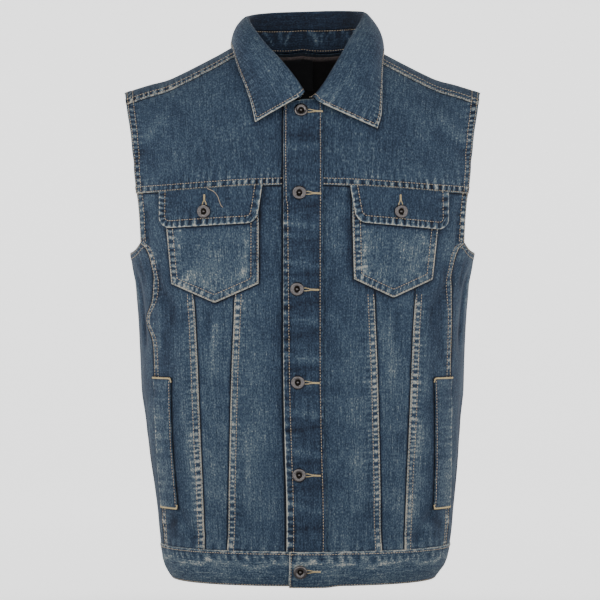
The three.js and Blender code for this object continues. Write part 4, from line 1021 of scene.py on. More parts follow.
# %% Welts of the hand pockets
WELT_THICK, WELT_WIDTH = 2.4, 30
WELT_TURN, WELT_LEAN = 50.8, 3.8  # of the inner edge: turn at the top, and how much more at the foot
WELT_EDGE = {"width": 2.0, "depth": 0.1, "pale": 0.4}

def welt(name, side):
    mm = stations(WELT_FOOT - CHEST, WELT_TOP - CHEST, 2.6)[:, None]
    down = (WELT_TOP - CHEST - mm) / (WELT_TOP - WELT_FOOT)
    inner = WELT_TURN + WELT_LEAN * down
    share = stations(0, WELT_WIDTH, 2.6)[None, :] / WELT_WIDTH
    turn = inner + (side_seam(SIDE_FRONT, 1, side)(mm) - 0.5 / TURN_MM - inner) * share
    rise = np.broadcast_to(mm, turn.shape)
    wave = rope(mm + 0 * share, 17.0, 1.3 + side)
    lay(name, side * turn, rise, PATCH_BASE, WELT_THICK,
        [dict(WELT_EDGE, edge="left", rows=(1.2,), rim=0.2), dict(WELT_EDGE, edge="right", rows=())],
        0.05 + 0.22 * wave * share, 0.3 * wave)


for side, word in SIDES:
    patch(f"chest_pocket_{word}", side, *POCKETS[word])
    flap(f"pocket_flap_{word}", side, *FLAPS[word])
    welt(f"hand_welt_{word}", side)
print("with the pockets:", len(cloth_pieces), "pieces")

# %% [markdown]
# ## Waistband
# The band is cut along the grain, so its yarns run round the body. Its left end lies over its right end at
# the front and is lifted there, and comes down to the body again beside the overlap.

# %% Three lengths of the band
BAND_BASE, BAND_THICK, BAND_LIFT = -0.7, 3.2, 3.6
JOIN = 110.0      # turn of the joins at the sides
BAND_MM = 2.9     # cloth round for a degree of turn, near enough
LIFTED, DOWN = band_turn(24), band_turn(52)
PUCKERS_AT, STREAK_AT = -630, -637  # heights

def band(name, start, end, lifted, hems, seed):
    """Its wear: a rope of puckers, and pale streaks that wander along just under them."""
    mm = stations(0, abs(end - start) * BAND_MM)
    turn = start + (end - start) * mm / mm[-1]
    turn, height = np.meshgrid(turn, stations(HEM, BAND_TOP - GAP, 2.4))
    lift = BAND_LIFT * (1 - smooth((turn - LIFTED) / (DOWN - LIFTED))) if lifted else 0.0
    here = turn * BAND_MM + 0.5 * (height + 640)
    wave = rope(here, 12.0, seed) * np.exp(-((height - PUCKERS_AT) / 4) ** 2)
    ripple = STREAK_AT + 2.6 * np.sin(here / 15 + seed) + 1.3 * np.sin(here / 6.1)
    streak = (0.65 + 0.35 * rope(here, 41.0, seed + 1)) * np.exp(-((height - ripple) / 2.8) ** 2)
    lay(name, turn, height - CHEST, BAND_BASE + lift, BAND_THICK, hems,
        0.12 + 0.5 * np.maximum(wave, -0.8) + 0.6 * streak, 0.4 * wave + 0.5 * streak, across_grain=True)


BAND_HEMS = [{"edge": "top", "width": 3.2, "pitch": 11.0, "depth": 0.3, "pale": 0.55, "rows": (3.2,),
              "rim": 0.55, "seed": 1.1},
             {"edge": "bottom", "width": 2.6, "pitch": 8.0, "depth": 0.22, "rows": (2.4,), "reach": 3,
              "seed": 2.7}]
FREE_END = {"edge": "left", "width": 2.6, "depth": 0.1, "pale": 0.3, "rows": (2.4,), "rim": 1.0}
band("waistband_left", band_turn(-19.5), JOIN - GAP / TURN_MM, True, BAND_HEMS + [FREE_END], 0.4)
band("waistband_right", -JOIN + GAP / TURN_MM, band_turn(20), False, BAND_HEMS, 1.9)
band("waistband_back", JOIN + GAP / TURN_MM, 360 - JOIN - GAP / TURN_MM, False, BAND_HEMS, 3.1)
print("with the waistband:", len(cloth_pieces), "pieces")

# %% [markdown]
# ## Collar
# The collar stands up from the neck seam, folds over and falls on the shoulders. It is worked out as a row
# of sections round the neck: from each point of the neck seam a line goes up the stand, round the fold and
# down to the outer edge. Lines between a few such sections make a smooth sheet, which a single bent strip
# can't.

# %% Sections of the collar
COLLAR = np.array([  # neck angle, top of the fold x y z, edge out, edge over the shoulder, swell
    [-2, 3, -104, -59, -57.5, 151.7, 3], [-16, -8, -99, -42, -61.5, 145.5, 5],
    [-32, -25, -86, -20, -69, 136.5, 7],
    [-50, -45, -64, 3, -78, 126, 8], [-68, -59, -38, 24, -83.5, 114, 7], [-86, -66, -10, 39, -87.5, 96, 5],
    [-106, -65, 18, 46.5, -87, 79, 4], [-132, -52, 42, 53, -72, 66, 4], [-156, -30, 54, 56.5, -40, 61, 4],
    [-180, 1, 58, 58, 1, 60, 4], [-204, 33, 54, 58.5, 43, 61, 4], [-228, 61, 42, 57, 79, 66, 4],
    [-254, 76, 18, 52, 98.5, 79, 5], [-274, 74, -10, 41, 100.5, 97, 7], [-292, 65, -38, 23, 98.5, 115, 9],
    [-310, 53, -62, 0, 97.5, 129.5, 9], [-328, 38, -83, -27, 97, 139.5, 7], [-343, 26, -97, -48, 96, 146, 5],
    [-354, 15, -105, -66, 91.5, 152, 3]])
COLLAR_THICK, STAND_SHARE, FOLD_RADIUS = 2.2, 0.55, 3.4
ORDER = np.concatenate([np.arange(len(COLLAR))[:, None], COLLAR], axis=1)

def unit(vectors):
    return vectors / np.linalg.norm(vectors, axis=-1, keepdims=True)


def on_shoulder(out, over, off):
    """A point a distance off the form, at a place over the shoulder."""
    turn, rise = over_shoulder(out, over)
    point = form_point(turn, rise)
    fold = fold_depth(turn, point[..., 2], FOLDS)
    return point + form_normal(turn, rise) * (off + fold)[..., None]


def fall_off(out):
    """How far off the form the fall lies: over the placket and beside it."""
    over_placket = PLACKET_BASE + PLACKET_THICK + COLLAR_THICK / 2 + 0.8
    return np.where(np.abs(out) < 30, over_placket, CLOTH + COLLAR_THICK / 2 + 1.2)


def collar_rows(share):
    """The neck seam, the fold and the outer edge, at shares of the way round the neck."""
    angle, *roll, edge_out, edge_over, swell = (
        read(ORDER, column, share * (len(COLLAR) - 1)) for column in range(1, 8))
    neck = on_shoulder(*neck_edge(angle), np.full_like(angle, 0.8))
    edge = on_shoulder(edge_out, edge_over, fall_off(edge_out))
    level = on_shoulder(edge_out, edge_over, np.zeros_like(angle))
    edge_normal = on_shoulder(edge_out, edge_over, np.ones_like(angle)) - level
    return neck, np.stack(roll, axis=-1), edge, edge_normal, swell


print("collar:", len(COLLAR), "sections")

# %% [markdown]
# The fall must not sink into the yokes under it, so each of its points is compared with the nearest place
# of the form and lifted where it is too low.

# %% Middle lines of the collar
def lift_clear(points):
    """Lifts points of the fall that are too near the cloth under them."""
    overs = np.arange(30.0, 161.0)
    outs = np.repeat(points[:, :1], len(overs), axis=1)
    skin = on_shoulder(outs, np.tile(overs, (len(points), 1)), np.zeros_like(outs))
    nearest = np.linalg.norm(skin - points[:, None], axis=2).argmin(axis=1)
    base = skin[np.arange(len(points)), nearest]
    normal = on_shoulder(points[:, 0], overs[nearest], np.ones(len(points))) - base
    off = ((points - base) * normal).sum(axis=1)
    return points + normal * np.maximum(fall_off(points[:, 0]) - off, 0)[:, None]


def collar_lines(share):
    """The middle lines of the stand and of the fall, for each share of the way round the neck."""
    neck, roll, edge, edge_normal, swell = collar_rows(share)
    step = 0.004
    before, after = collar_rows(np.maximum(share - step, 0)), collar_rows(np.minimum(share + step, 1))
    up = unit(roll - neck)
    out = unit(np.cross(up, after[1] + after[0] - before[1] - before[0]))
    def stem(t):
        return neck + (roll - neck) * t
    def fold(degrees):
        angle = math.radians(degrees)
        return roll + out * FOLD_RADIUS * (1 - math.cos(angle)) + up * FOLD_RADIUS * (math.sin(angle) - 1)
    start, bulge = fold(150), unit(out + edge_normal)
    def fall(t):
        return lift_clear(start + (edge - start) * t + bulge * (4 * swell * t * (1 - t))[:, None])
    stand = [stem(t * STAND_SHARE) for t in (0, 0.5, 1)]
    rest = [stem(STAND_SHARE) + up * 0.3, stem(0.78)] + [fold(degrees) for degrees in range(0, 121, 30)]
    rest += [fall(t) for t in (0.08, 0.16, 0.27, 0.38, 0.5, 0.62, 0.72, 0.82, 0.91, 1)]
    return np.stack(stand), np.stack(rest)


COLLAR_LENGTH = 560
stand_lines, fall_lines = collar_lines(stations(0, COLLAR_LENGTH, 2.8) / COLLAR_LENGTH)
print("lines up the stand and down the fall:", len(stand_lines), "and", len(fall_lines))

# %% A wall about the middle lines
def drawn_finer(lines, step):
    """The same sheet with rows a step apart, and which of the first rows each one was."""
    steps = np.linalg.norm(np.diff(lines, axis=0), axis=2).mean(axis=1)
    at = np.concatenate([[0], np.cumsum(steps)])
    fine = stations(0, at[-1], step)
    table = np.concatenate([at[:, None], lines.reshape(len(lines), -1)], axis=1)
    made = np.stack([read(table, c, fine) for c in range(1, table.shape[1])], axis=1)
    return made.reshape(len(fine), lines.shape[1], 3), np.interp(fine, at, np.arange(len(at)))


def collar_piece(name, lines, hem_of, fade_of):
    """A wall of cloth about a sheet of middle lines, with one hem."""
    grid, row = drawn_finer(lines, 2.6)
    along = np.gradient(grid, axis=1)
    up = np.gradient(grid, axis=0)
    facing = unit(np.cross(along, up))
    edges = edge_distances(grid)
    hem = hem_of(grid, edges, row[:, None])
    relief, worn = hem_effect(hem["away"], hem["along"], hem)
    nearest = np.minimum.reduce(list(edges.values()))
    relief = relief - 0.5 * np.exp(-(nearest / 0.5) ** 2)
    skin = grid + facing * (COLLAR_THICK / 2 + relief)[..., None]
    lining = grid - facing * (COLLAR_THICK / 2)
    grain = np.stack([edges["bottom"], edges["left"]], axis=-1)
    wear_and_shade = fade_of(edges, row[:, None]) + worn
    cloth_wall(name, skin, lining, grain, wear_and_shade, facing, (WASHED, WASHED))
    cloth_pieces[name]["outline"] = hem["away"], hem["along"]


fall_length = np.linalg.norm(np.diff(fall_lines, axis=0), axis=2).sum(axis=0)
print("the fall is", fall_length.min().round(), "to", fall_length.max().round(), "mm deep")

# %% [markdown]
# The stand hardly shows and keeps its indigo, with pale whiskers where it is squeezed. The fall wore
# evenly, with a pale rim and one row of stitches along its free edge.

# %% Stand and fall
def stand_hem(grid, edges, row):
    return {"away": edges["top"], "along": edges["left"], "width": 3.0, "pitch": 13, "depth": 0.5,
            "pale": 0.3, "rows": (1.6,), "rim": -0.8, "reach": 12, "seed": 0.7}


def stand_fade(edges, row):
    """Indigo that hardly wore, with pale whiskers where the stand is squeezed under the seam."""
    lean = edges["top"] * np.sin(edges["left"] / 8.3)
    whisker = (np.maximum(rope(edges["left"] + 0.7 * lean, 12.0, 0.4), 0) ** 3
               + np.maximum(rope(edges["left"] - 0.8 * lean + 5, 17.0, 2.0), 0) ** 3)
    return -0.66 + 1.3 * whisker * smooth((26 - edges["top"]) / 12)


def fall_hem(grid, edges, row):
    away, along = from_outline(grid, *outline_of(grid[::-1]))
    return {"away": away, "along": along, "width": 4.0, "pitch": 6.2, "depth": 0.45, "pale": 0.8,
            "rows": (3.6,), "rim": 1.4, "reach": 10, "seed": 2.0, "where": smooth((row - 6) / 2)}


def fall_fade(edges, row):
    """Hidden on its way up, worn evenly from the crown of the fold on."""
    return -0.66 + 0.7 * smooth((row - 2.5) / 2.2) - 0.16 * smooth((row - 7) / 5) + 0 * edges["left"]


collar_piece("collar_stand", stand_lines, stand_hem, stand_fade)
collar_piece("collar_fall", fall_lines, fall_hem, fall_fade)
print("all cloth:", len(cloth_pieces), "pieces,",
      sum(len(p["object"].data.polygons) * 2 for p in cloth_pieces.values()), "triangles")

# %% [markdown]
# ## Covered edges
# Just outside a pocket, a flap or a collar leaf a painted shadow darkens the cloth below: a fine dark line
# where the edge above casts its shadow, and a soft painted shade round it. That fine dark line is what makes
# a layer look laid on. It is painted where the cloth lies near the lower outline of a piece above it.

# %% Painted shadow lines beside the layers above
SHARP, SOFT = (1.1, 1.9), (0.2, 8)  # strength and half width of the painted shadow line and of the painted shade round it

def paint_shadow_beside(upper, sides, under, strength=1.0):
    """Paints a shadow on the pieces under the outline of an upper one. The collar's free edge is its last
    row.
    """
    lining = cloth_pieces[upper]["lining"]
    line, _ = outline_of(lining[::-1] if upper == "collar_fall" else lining, sides)
    near = KDTree(len(line))
    for i, point in enumerate(line):
        near.insert(point, i)
    near.balance()
    low, high = line.min(axis=0) - 20, line.max(axis=0) + 20
    for name in under:
        skin = cloth_pieces[name]["skin"].reshape(-1, 3)
        close = np.flatnonzero(((skin > low) & (skin < high)).all(axis=1))
        wear_and_shade = cloth_pieces[name]["object"].data.attributes["fade_and_shade"].data
        values = np.empty(len(wear_and_shade), dtype=np.float32)
        wear_and_shade.foreach_get("value", values)
        away = np.array([near.find(skin[i])[2] for i in close])
        values[close] -= strength * sum(much * np.exp(-(away / half) ** 2) for much, half in (SHARP, SOFT))
        wear_and_shade.foreach_set("value", values)


for side, word in SIDES:
    panels = [f"front_{part}_{word}" for part in ("centre", "middle", "side")]
    paint_shadow_beside(f"chest_pocket_{word}", POCKET_SIDES, panels)
    paint_shadow_beside(f"pocket_flap_{word}", POCKET_SIDES, panels + [f"chest_pocket_{word}"])
    paint_shadow_beside(f"hand_welt_{word}", ALL_SIDES, panels[2:])
    paint_shadow_beside(f"front_yoke_{word}", ("bottom",), [f"pocket_flap_{word}"], 0.7)
paint_shadow_beside("placket", ("left",), ["front_centre_right", "front_yoke_right"])
under_collar = ["front_yoke_right", "front_yoke_left", "back_yoke", "placket"]
paint_shadow_beside("collar_fall", POCKET_SIDES, under_collar, 0.8)
print("dark lines painted beside 10 pieces")

# %% [markdown]
# ## Neck facing
# Inside the back neck a dark tape covers the raw end of the seam, with a bare woven label on it. Both
# follow the inside of the yoke, so they are laid on the same form with a negative distance from it.

# %% Woven finishes
def mixed(tree, share, colour):
    """A colour between two, by a share."""
    inputs = {"Factor": share, "A": paint(colour[0]), "B": paint(colour[1])}
    return node(tree, "ShaderNodeMix", inputs, data_type="RGBA").outputs[2]


def woven(name, colour, roughness, scale, worn=False):
    """A woven finish between two colours. With worn set, its paler colour shows only as far as the piece's
    fade_and_shade says.
    """
    material, tree, shader, place = new_finish(name, Roughness=roughness, Specular_IOR_Level=0.2)
    weave = node(tree, "ShaderNodeTexNoise", {"Vector": place, "Scale": scale, "Detail": 3.0}).outputs["Fac"]
    wear_and_shade = node(tree, "ShaderNodeAttribute", attribute_name="fade_and_shade").outputs["Fac"] if worn else 1.0
    share = node(tree, "ShaderNodeMath", {0: weave, 1: wear_and_shade}, operation="MULTIPLY").outputs[0]
    tree.links.new(mixed(tree, share, colour), shader.inputs["Base Color"])
    bump = node(tree, "ShaderNodeBump", {"Height": weave, "Strength": 0.6, "Distance": 0.3 * MM})
    tree.links.new(bump.outputs["Normal"], shader.inputs["Normal"])
    return material


# Twill tape: brown-black, dull and slightly hairy, paler along the neck and nearly black lower down
TAPE = woven("black_twill_tape", ("#0D0C0D", "#6A5F5E"), 0.95, 420, worn=True)
# Satin: smoother and blacker than the tape
SATIN = woven("black_woven_satin", ("#0C0C0D", "#17171A"), 0.6, 300)
print("finishes:", TAPE.name, SATIN.name)

# %% [markdown]
# The tape's foot is a curve that drops towards the middle of the back. The label is a plain piece of satin
# over it.

# %% Tape and label inside the back neck
TAPE_WIDE, LABEL_FOOT, INSIDE_THICK = 71.4, 45, 1.0  # mm out, degrees over the shoulder, mm
PALER_ABOVE = -6                                    # height above which the tape is paler; below it, nearly black

def back_neck(out):
    """The neck seam behind, over the shoulder."""
    return 90 - CUT_BACK * np.sqrt(1 - (out / CUT_HALF) ** 2)


def facing_foot(out):
    return np.minimum(84 - 46 * np.sqrt(1 - (out / TAPE_WIDE) ** 2), back_neck(out) - 5)


def label_foot(out):
    return np.full_like(out, LABEL_FOOT)


def inside_back(name, outs, top_drop, foot, off, finish):
    """off: where its face lies, in from the form. Its other side is nearer to the yoke."""
    out, level = np.meshgrid(outs, stations(0, 50, 4.0) / 50)
    over = foot(out) * (1 - level) + (back_neck(out) - top_drop) * level
    skin, lining = (on_shoulder(out, over, np.full_like(out, o)) for o in (off, off + INSIDE_THICK))
    grain = np.stack([out, over * RISE_MM], axis=-1)
    wear_and_shade = smooth((skin[..., 2] - PALER_ABOVE) / 4)
    piece = cloth_wall(name, skin, lining, grain, wear_and_shade, unit(skin - lining), (finish, finish))


inside_back("neck_facing", stations(-70, 70, 4.0), 1.5, facing_foot, -2.1, TAPE)
inside_back("neck_label", stations(-24, 14, 4.0), 3.0, label_foot, -3.4, SATIN)
print("pieces of cloth and tape:", len(cloth_pieces))

# %% [markdown]
# ## Stitches
# A sewing machine leaves a stitch every few millimetres along a line, so a row of stitches is one small
# shape repeated along a path. The paths are lines of equal distance from an edge, read off the grids. A
# Geometry Nodes tree then cuts each path into equal steps and lays a small capsule of thread on each. It is
# drawn 0.8 mm thick, about twice real topstitching thread, because a finer one would vanish from this far.
# Turned across the path and packed closely, the same capsules make the satin of buttonholes and bar tacks.

# %% Lines to sew along
def even_line(rows, step=1.5, gap=7.0):
    """Sorts crossings by their place along the seam, averages close ones, and cuts the line at gaps."""
    rows = rows[np.argsort(rows[:, 6])]
    bins = np.floor(rows[:, 6] / step).astype(int)
    starts = np.flatnonzero(np.diff(bins, prepend=bins[0] - 1))
    counts = np.diff(np.append(starts, len(rows)))[:, None]
    line = np.add.reduceat(rows, starts, axis=0) / counts
    cuts = np.flatnonzero(np.linalg.norm(np.diff(line[:, :3], axis=0), axis=1) > gap) + 1
    return [part for part in np.split(line[:, :6], cuts) if len(part) > 2]


def seam_lines(piece, level, edge=None, keep=None):
    """Lines at one distance from an edge: point x y z, then the direction away from the cloth."""
    cloth = cloth_pieces[piece]
    if edge:
        away, along = (cloth["edges"][e] for e in (edge, "bottom" if edge in ("left", "right") else "left"))
    else:
        away, along = cloth["outline"]
    table = np.concatenate([cloth["skin"], cloth["outward"], along[..., None]], axis=-1)
    found = []
    for here, there in ((np.s_[:-1], np.s_[1:]), (np.s_[:, :-1], np.s_[:, 1:])):
        one, other = away[here] - level, away[there] - level
        hit = (one < 0) != (other < 0)
        share = (one[hit] / (one[hit] - other[hit]))[:, None]
        found.append(table[here][hit] * (1 - share) + table[there][hit] * share)
    rows = np.concatenate(found)
    if keep is not None:
        rows = rows[keep(rows)]
    return even_line(rows) if len(rows) > 2 else []


print("a line on the placket has", len(seam_lines("placket", 8.6, "left")[0]), "points")

# %% [markdown]
# The tree takes a mesh of loose edges. It resamples them as curves, turns each capsule to the line and to
# the cloth, sways it a little at random, and gives it the thread's finish.

# %% The tree that sews
def stitch_tree():
    """A Geometry Nodes tree with the sizes of the stitches as its inputs."""
    tree = bpy.data.node_groups.new("sew_along_lines", "GeometryNodeTree")
    face = tree.interface
    face.new_socket("Geometry", in_out="INPUT", socket_type="NodeSocketGeometry")
    for name in ("Spacing", "Length", "Width", "Angle", "Jitter"):
        face.new_socket(name, in_out="INPUT", socket_type="NodeSocketFloat")
    face.new_socket("Seed", in_out="INPUT", socket_type="NodeSocketInt")
    face.new_socket("Thread", in_out="INPUT", socket_type="NodeSocketMaterial")
    face.new_socket("Geometry", in_out="OUTPUT", socket_type="NodeSocketGeometry")
    given = node(tree, "NodeGroupInput").outputs
    curve = node(tree, "GeometryNodeMeshToCurve", {"Mesh": given["Geometry"]})
    steps = node(tree, "GeometryNodeResampleCurve",
                 {"Curve": curve.outputs["Curve"], "Length": given["Spacing"]}, mode="LENGTH")
    up = node(tree, "GeometryNodeInputNamedAttribute", {"Name": "up"}, data_type="FLOAT_VECTOR")
    tangent = node(tree, "GeometryNodeInputTangent")
    facing = node(tree, "FunctionNodeAxesToRotation",
                  {"Primary Axis": up.outputs["Attribute"], "Secondary Axis": tangent.outputs["Tangent"]},
                  primary_axis="Z", secondary_axis="X")
    low = node(tree, "ShaderNodeMath", {0: given["Jitter"], 1: -1.0}, operation="MULTIPLY").outputs[0]
    sway = node(tree, "FunctionNodeRandomValue",
                {"Min": low, "Max": given["Jitter"], "Seed": given["Seed"]}, data_type="FLOAT").outputs[1]
    angle = node(tree, "ShaderNodeMath", {0: given["Angle"], 1: sway}, operation="ADD").outputs[0]
    turn = node(tree, "FunctionNodeAxisAngleToRotation", {"Axis": (0, 0, 1), "Angle": angle})
    laid = node(tree, "FunctionNodeRotateRotation",
                {"Rotation": facing.outputs["Rotation"], "Rotate By": turn.outputs["Rotation"]},
                rotation_space="LOCAL")
    longer = node(tree, "ShaderNodeMath", {0: sway, 1: given["Length"], 2: given["Length"]},
                  operation="MULTIPLY_ADD").outputs[0]
    size = node(tree, "ShaderNodeCombineXYZ", {"X": longer, "Y": given["Width"], "Z": given["Width"]})
    capsule = node(tree, "GeometryNodeMeshUVSphere", {"Segments": 6, "Rings": 4, "Radius": 0.5})
    sewn = node(tree, "GeometryNodeInstanceOnPoints",
                {"Points": steps.outputs["Curve"], "Instance": capsule.outputs["Mesh"],
                 "Rotation": laid.outputs["Rotation"], "Scale": size.outputs["Vector"]})
    real = node(tree, "GeometryNodeRealizeInstances", {"Geometry": sewn.outputs["Instances"]})
    rounded = node(tree, "GeometryNodeSetShadeSmooth", {"Geometry": real.outputs["Geometry"]})
    painted = node(tree, "GeometryNodeSetMaterial",
                   {"Geometry": rounded.outputs["Geometry"], "Material": given["Thread"]})
    node(tree, "NodeGroupOutput", {"Geometry": painted.outputs["Geometry"]})
    return tree


SEWING = stitch_tree()
print("the tree that sews has", len(SEWING.nodes), "nodes")

# %% Sewing along lines
JITTER = 0.09  # radians, and share of its length, that a stitch may be off

def sew(name, lines, spacing, length, width, angle, seed, thread, raised=0.25):
    """Sews along the lines and leaves the stitches as a plain mesh. Sizes in mm, angle in degrees."""
    ends = np.cumsum([len(line) for line in lines])
    edges = [(i, i + 1) for end, line in zip(ends, lines) for i in range(end - len(line), end - 1)]
    table = np.concatenate(lines)
    up = unit(table[:, 3:6])
    mesh = bpy.data.meshes.new(name)
    mesh.from_pydata(((table[:, :3] + up * raised) * MM).tolist(), edges, [])
    away = mesh.attributes.new("up", "FLOAT_VECTOR", "POINT")
    away.data.foreach_set("vector", up.ravel().astype(np.float32))
    piece = put(name, mesh)
    sewing = piece.modifiers.new("sewing", "NODES")
    sewing.node_group = SEWING
    values = {"Spacing": spacing * MM, "Length": length * MM, "Width": width * MM, "Jitter": JITTER,
              "Angle": math.radians(angle), "Seed": seed, "Thread": thread}
    for socket in SEWING.interface.items_tree:
        if socket.in_out == "INPUT" and socket.name in values:
            sewing[socket.identifier] = values[socket.name]
    evaluated = piece.evaluated_get(bpy.context.evaluated_depsgraph_get())
    sewn = bpy.data.meshes.new_from_object(evaluated)
    piece.modifiers.remove(sewing)
    piece.data = sewn
    sewn.name = name
    bpy.data.meshes.remove(mesh)
    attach(piece, "root")
    sewn.calc_loop_triangles()
    print(name, len(lines), "lines,", len(sewn.loop_triangles), "triangles")


# Twisted cotton thread: matt, a little uneven in colour along its length
TOPSTITCH = woven("tan_topstitching_thread", ("#867661", "#BAAA91"), 0.75, 260)
SATIN_THREAD = woven("sand_buttonhole_thread", ("#94835F", "#BFAE88"), 0.75, 260)
print("threads:", TOPSTITCH.name, SATIN_THREAD.name)

# %% [markdown]
# A felled seam has two rows, one close to its folded edge and one along its other side. A row stops where
# the strip is hidden, so some are limited to a height.

# %% Where the rows lie and stop
FELLED_ROWS, PATCH_ROWS, ARM_ROWS = (1.4, 8.2), (1.6, 9.2), (3.2, 10.8)  # mm in from the edge
STITCH_STEP, STITCH_LENGTH, THREAD_THICK = 3.5, 2.75, 0.8

rows = {"front": [], "side": [], "back": []}

def below(height):
    return lambda rows: rows[:, 2] < height


def above(height):
    return lambda rows: rows[:, 2] > height


def off_welt(rows):
    height = rows[:, 2]
    return ((height > WELT_TOP + 1) | (height < WELT_FOOT - 2)) & (height < CORNER + 4)


def forward_seam(rows):
    """The back yoke's upper edge where it is sewn to the front yokes."""
    return (np.abs(rows[:, 0]) > 76) & (rows[:, 1] < 0)


print("stitches are", STITCH_LENGTH, "mm long and", STITCH_STEP, "mm apart")

# %% Topstitching
for side, word in SIDES:
    for level in FELLED_ROWS:
        rows["front"] += seam_lines(f"front_centre_{word}", level, "right", below(POCKET_FOOT))
        rows["front"] += seam_lines(f"front_side_{word}", level, "left", below(POCKET_FOOT))
        rows["front"] += seam_lines(f"front_yoke_{word}", level, "bottom")
        rows["side"] += seam_lines(f"front_side_{word}", level, "right", off_welt)
        rows["back"] += seam_lines(f"back_side_{word}", level, "right")
    for level in PATCH_ROWS:
        rows["front"] += seam_lines(f"chest_pocket_{word}", level)
    rows["front"] += seam_lines(f"pocket_flap_{word}", 8.7)
    rows["side"] += seam_lines(f"hand_welt_{word}", 1.2, "left")
    for level in ARM_ROWS:
        rows["side"] += seam_lines(f"front_yoke_{word}", level, "right")
        rows["side"] += seam_lines(f"front_side_{word}", level, "right", above(CORNER))
        rows["side"] += seam_lines(f"side_panel_{word}", level, "top")
        rows["side"] += seam_lines(f"back_side_{word}", level, "left", above(CORNER))
        rows["back"] += seam_lines("back_yoke", level, "left" if side < 0 else "right")
for level in FELLED_ROWS:
    rows["back"] += seam_lines("back_yoke", level, "bottom")
    rows["back"] += seam_lines("back_yoke", level, "top", forward_seam)
rows["front"] += seam_lines("placket", 8.6, "left") + seam_lines("placket", 4.0, "right")
for part in ("left", "right", "back"):
    for edge, level in (("top", 3.2), ("bottom", 2.4)):
        rows["back" if part == "back" else "side"] += seam_lines(f"waistband_{part}", level, edge)
rows["side"] += seam_lines("waistband_left", 2.4, "left")
rows["back"] += seam_lines("collar_fall", 3.6)
rows["back"] += seam_lines("collar_stand", 1.6, "top") + seam_lines("collar_stand", 2.2, "bottom")
for seed, (word, lines) in enumerate(rows.items()):
    sew(f"topstitching_{word}", lines, STITCH_STEP, STITCH_LENGTH, THREAD_THICK, 0, seed, TOPSTITCH)

# %% [markdown]
# ## Buttonholes and bar tacks
# Each buttonhole is bound by satin stitches, drawn as a loop that is open at the button and closes to one
# line behind it. The ones on the placket lie across it, so a pull on the front can't open them, and the
# ones on the flaps stand upright. A bar tack is a short dense row of stitches over several layers, put
# where a hand would tear a pocket open: at both ends of each side pocket.

# %% Places on the cloth
trees = {}
FAR_OUT = 30  # mm off the form, where the rays start

def cast(piece, turn, rise):
    """The outer surface of a piece at places of the form, and the way out of it."""
    if piece not in trees:
        mesh = cloth_pieces[piece]["object"].data
        faces = [polygon.vertices[:] for polygon in mesh.polygons]
        trees[piece] = BVHTree.FromPolygons([vertex.co for vertex in mesh.vertices], faces)
    points, normals = form_point(turn, rise), form_normal(turn, rise)
    line = []
    for point, normal in zip(points, normals):
        hit = trees[piece].ray_cast(Vector((point + normal * FAR_OUT) * MM), Vector(-normal))[0]
        line.append(np.concatenate([np.array(hit) / MM if hit else point, normal]))
    return np.array(line)


def on_cloth(piece, out, height):
    """The same at places given by distance out and height."""
    rise = rise_at(np.array(height, float), np.array(out, float))
    return cast(piece, turn_at(out - middle_at(rise), rise), rise)


print("the cloth under the top button:", on_cloth("placket", [0], [-84])[0][:3].round(1), "mm")

# %% Buttonholes
def loop_path(out, height, along, length, flare):
    """A narrow loop that widens towards the button. along: (1, 0) for level and (0, 1) for upright."""
    count = 12
    t = np.concatenate([np.linspace(0, 1, count), np.linspace(1, 0, count)])
    off = np.repeat([LOOP_HALF, -LOOP_HALF], count) * (1 + flare * smooth((0.6 - t) / 0.35))
    return out + along[0] * t * length + along[1] * off, height + along[1] * t * length + along[0] * off


BUTTONS = ((-1.6, -84), (-3.8, -185), (-6.5, -302), (-5.6, -415), (-4.1, -527.5), (-2.5, -644.5))
FLAP_BUTTON = (118, -207)
LOOP_HALF, FROM_BUTTON = 0.5, 5.0  # half width of a closed loop, and where it starts beside the button
SATIN_STEP = 0.75
satin = []
for out, height in BUTTONS[:5]:
    satin.append(on_cloth("placket", *loop_path(out + FROM_BUTTON, height, (1, -0.04), 21, 2.4)))
out, height = BUTTONS[5]
satin.append(on_cloth("waistband_left", *loop_path(out + FROM_BUTTON, height, (1, 0), 19, 2.4)))
for side, word in SIDES:
    outs, heights = loop_path(FLAP_BUTTON[0], FLAP_BUTTON[1] + FROM_BUTTON, (0, 1), 15, 3.6)
    satin.append(on_cloth(f"pocket_flap_{word}", side * outs, heights))
sew("buttonhole_satin", satin, SATIN_STEP, 1.6, 0.8, 90, 11, SATIN_THREAD, 0.15)

# %% Bar tacks
TACKS = ((-411.5, -4.5, 50.6), (-572.5, 4.5, 54.4))  # height, hook up or down, turn of the inner end
tacks = []
for side, word in SIDES:
    for height, hook, inner in TACKS:
        heights = np.concatenate([np.linspace(height + hook, height, 4), np.full(18, height)])
        last = side_seam(SIDE_FRONT, 1, side)(np.array(height - CHEST)) + 1.2
        turns = np.concatenate([np.linspace(inner - 0.6, inner, 4), np.linspace(inner, last, 18)])
        tacks.append(cast(f"front_side_{word}", side * turns, heights - CHEST))
sew("bar_tacks", tacks, SATIN_STEP, 2.6, 0.9, 90, 12, SATIN_THREAD, 2.9)

# %% [markdown]
# One thread was cut too long and hangs loose on the right flap. It is a curve through six places.

# %% A loose thread
TAIL = np.array([  # number, distance out, height
    (0, 114, -180), (1, 106.5, -183.5), (2, 102, -188.7), (3, 99.8, -194.4), (4, 98, -199.3),
    (5, 95.8, -202)])
outs, heights = (read(TAIL, column, np.linspace(0, 5, 21)) for column in (1, 2))
tail = on_cloth("pocket_flap_right", -outs, heights)
sew("loose_thread", [tail], 0.9, 1.5, 0.75, 0, 13, TOPSTITCH, 0.5)

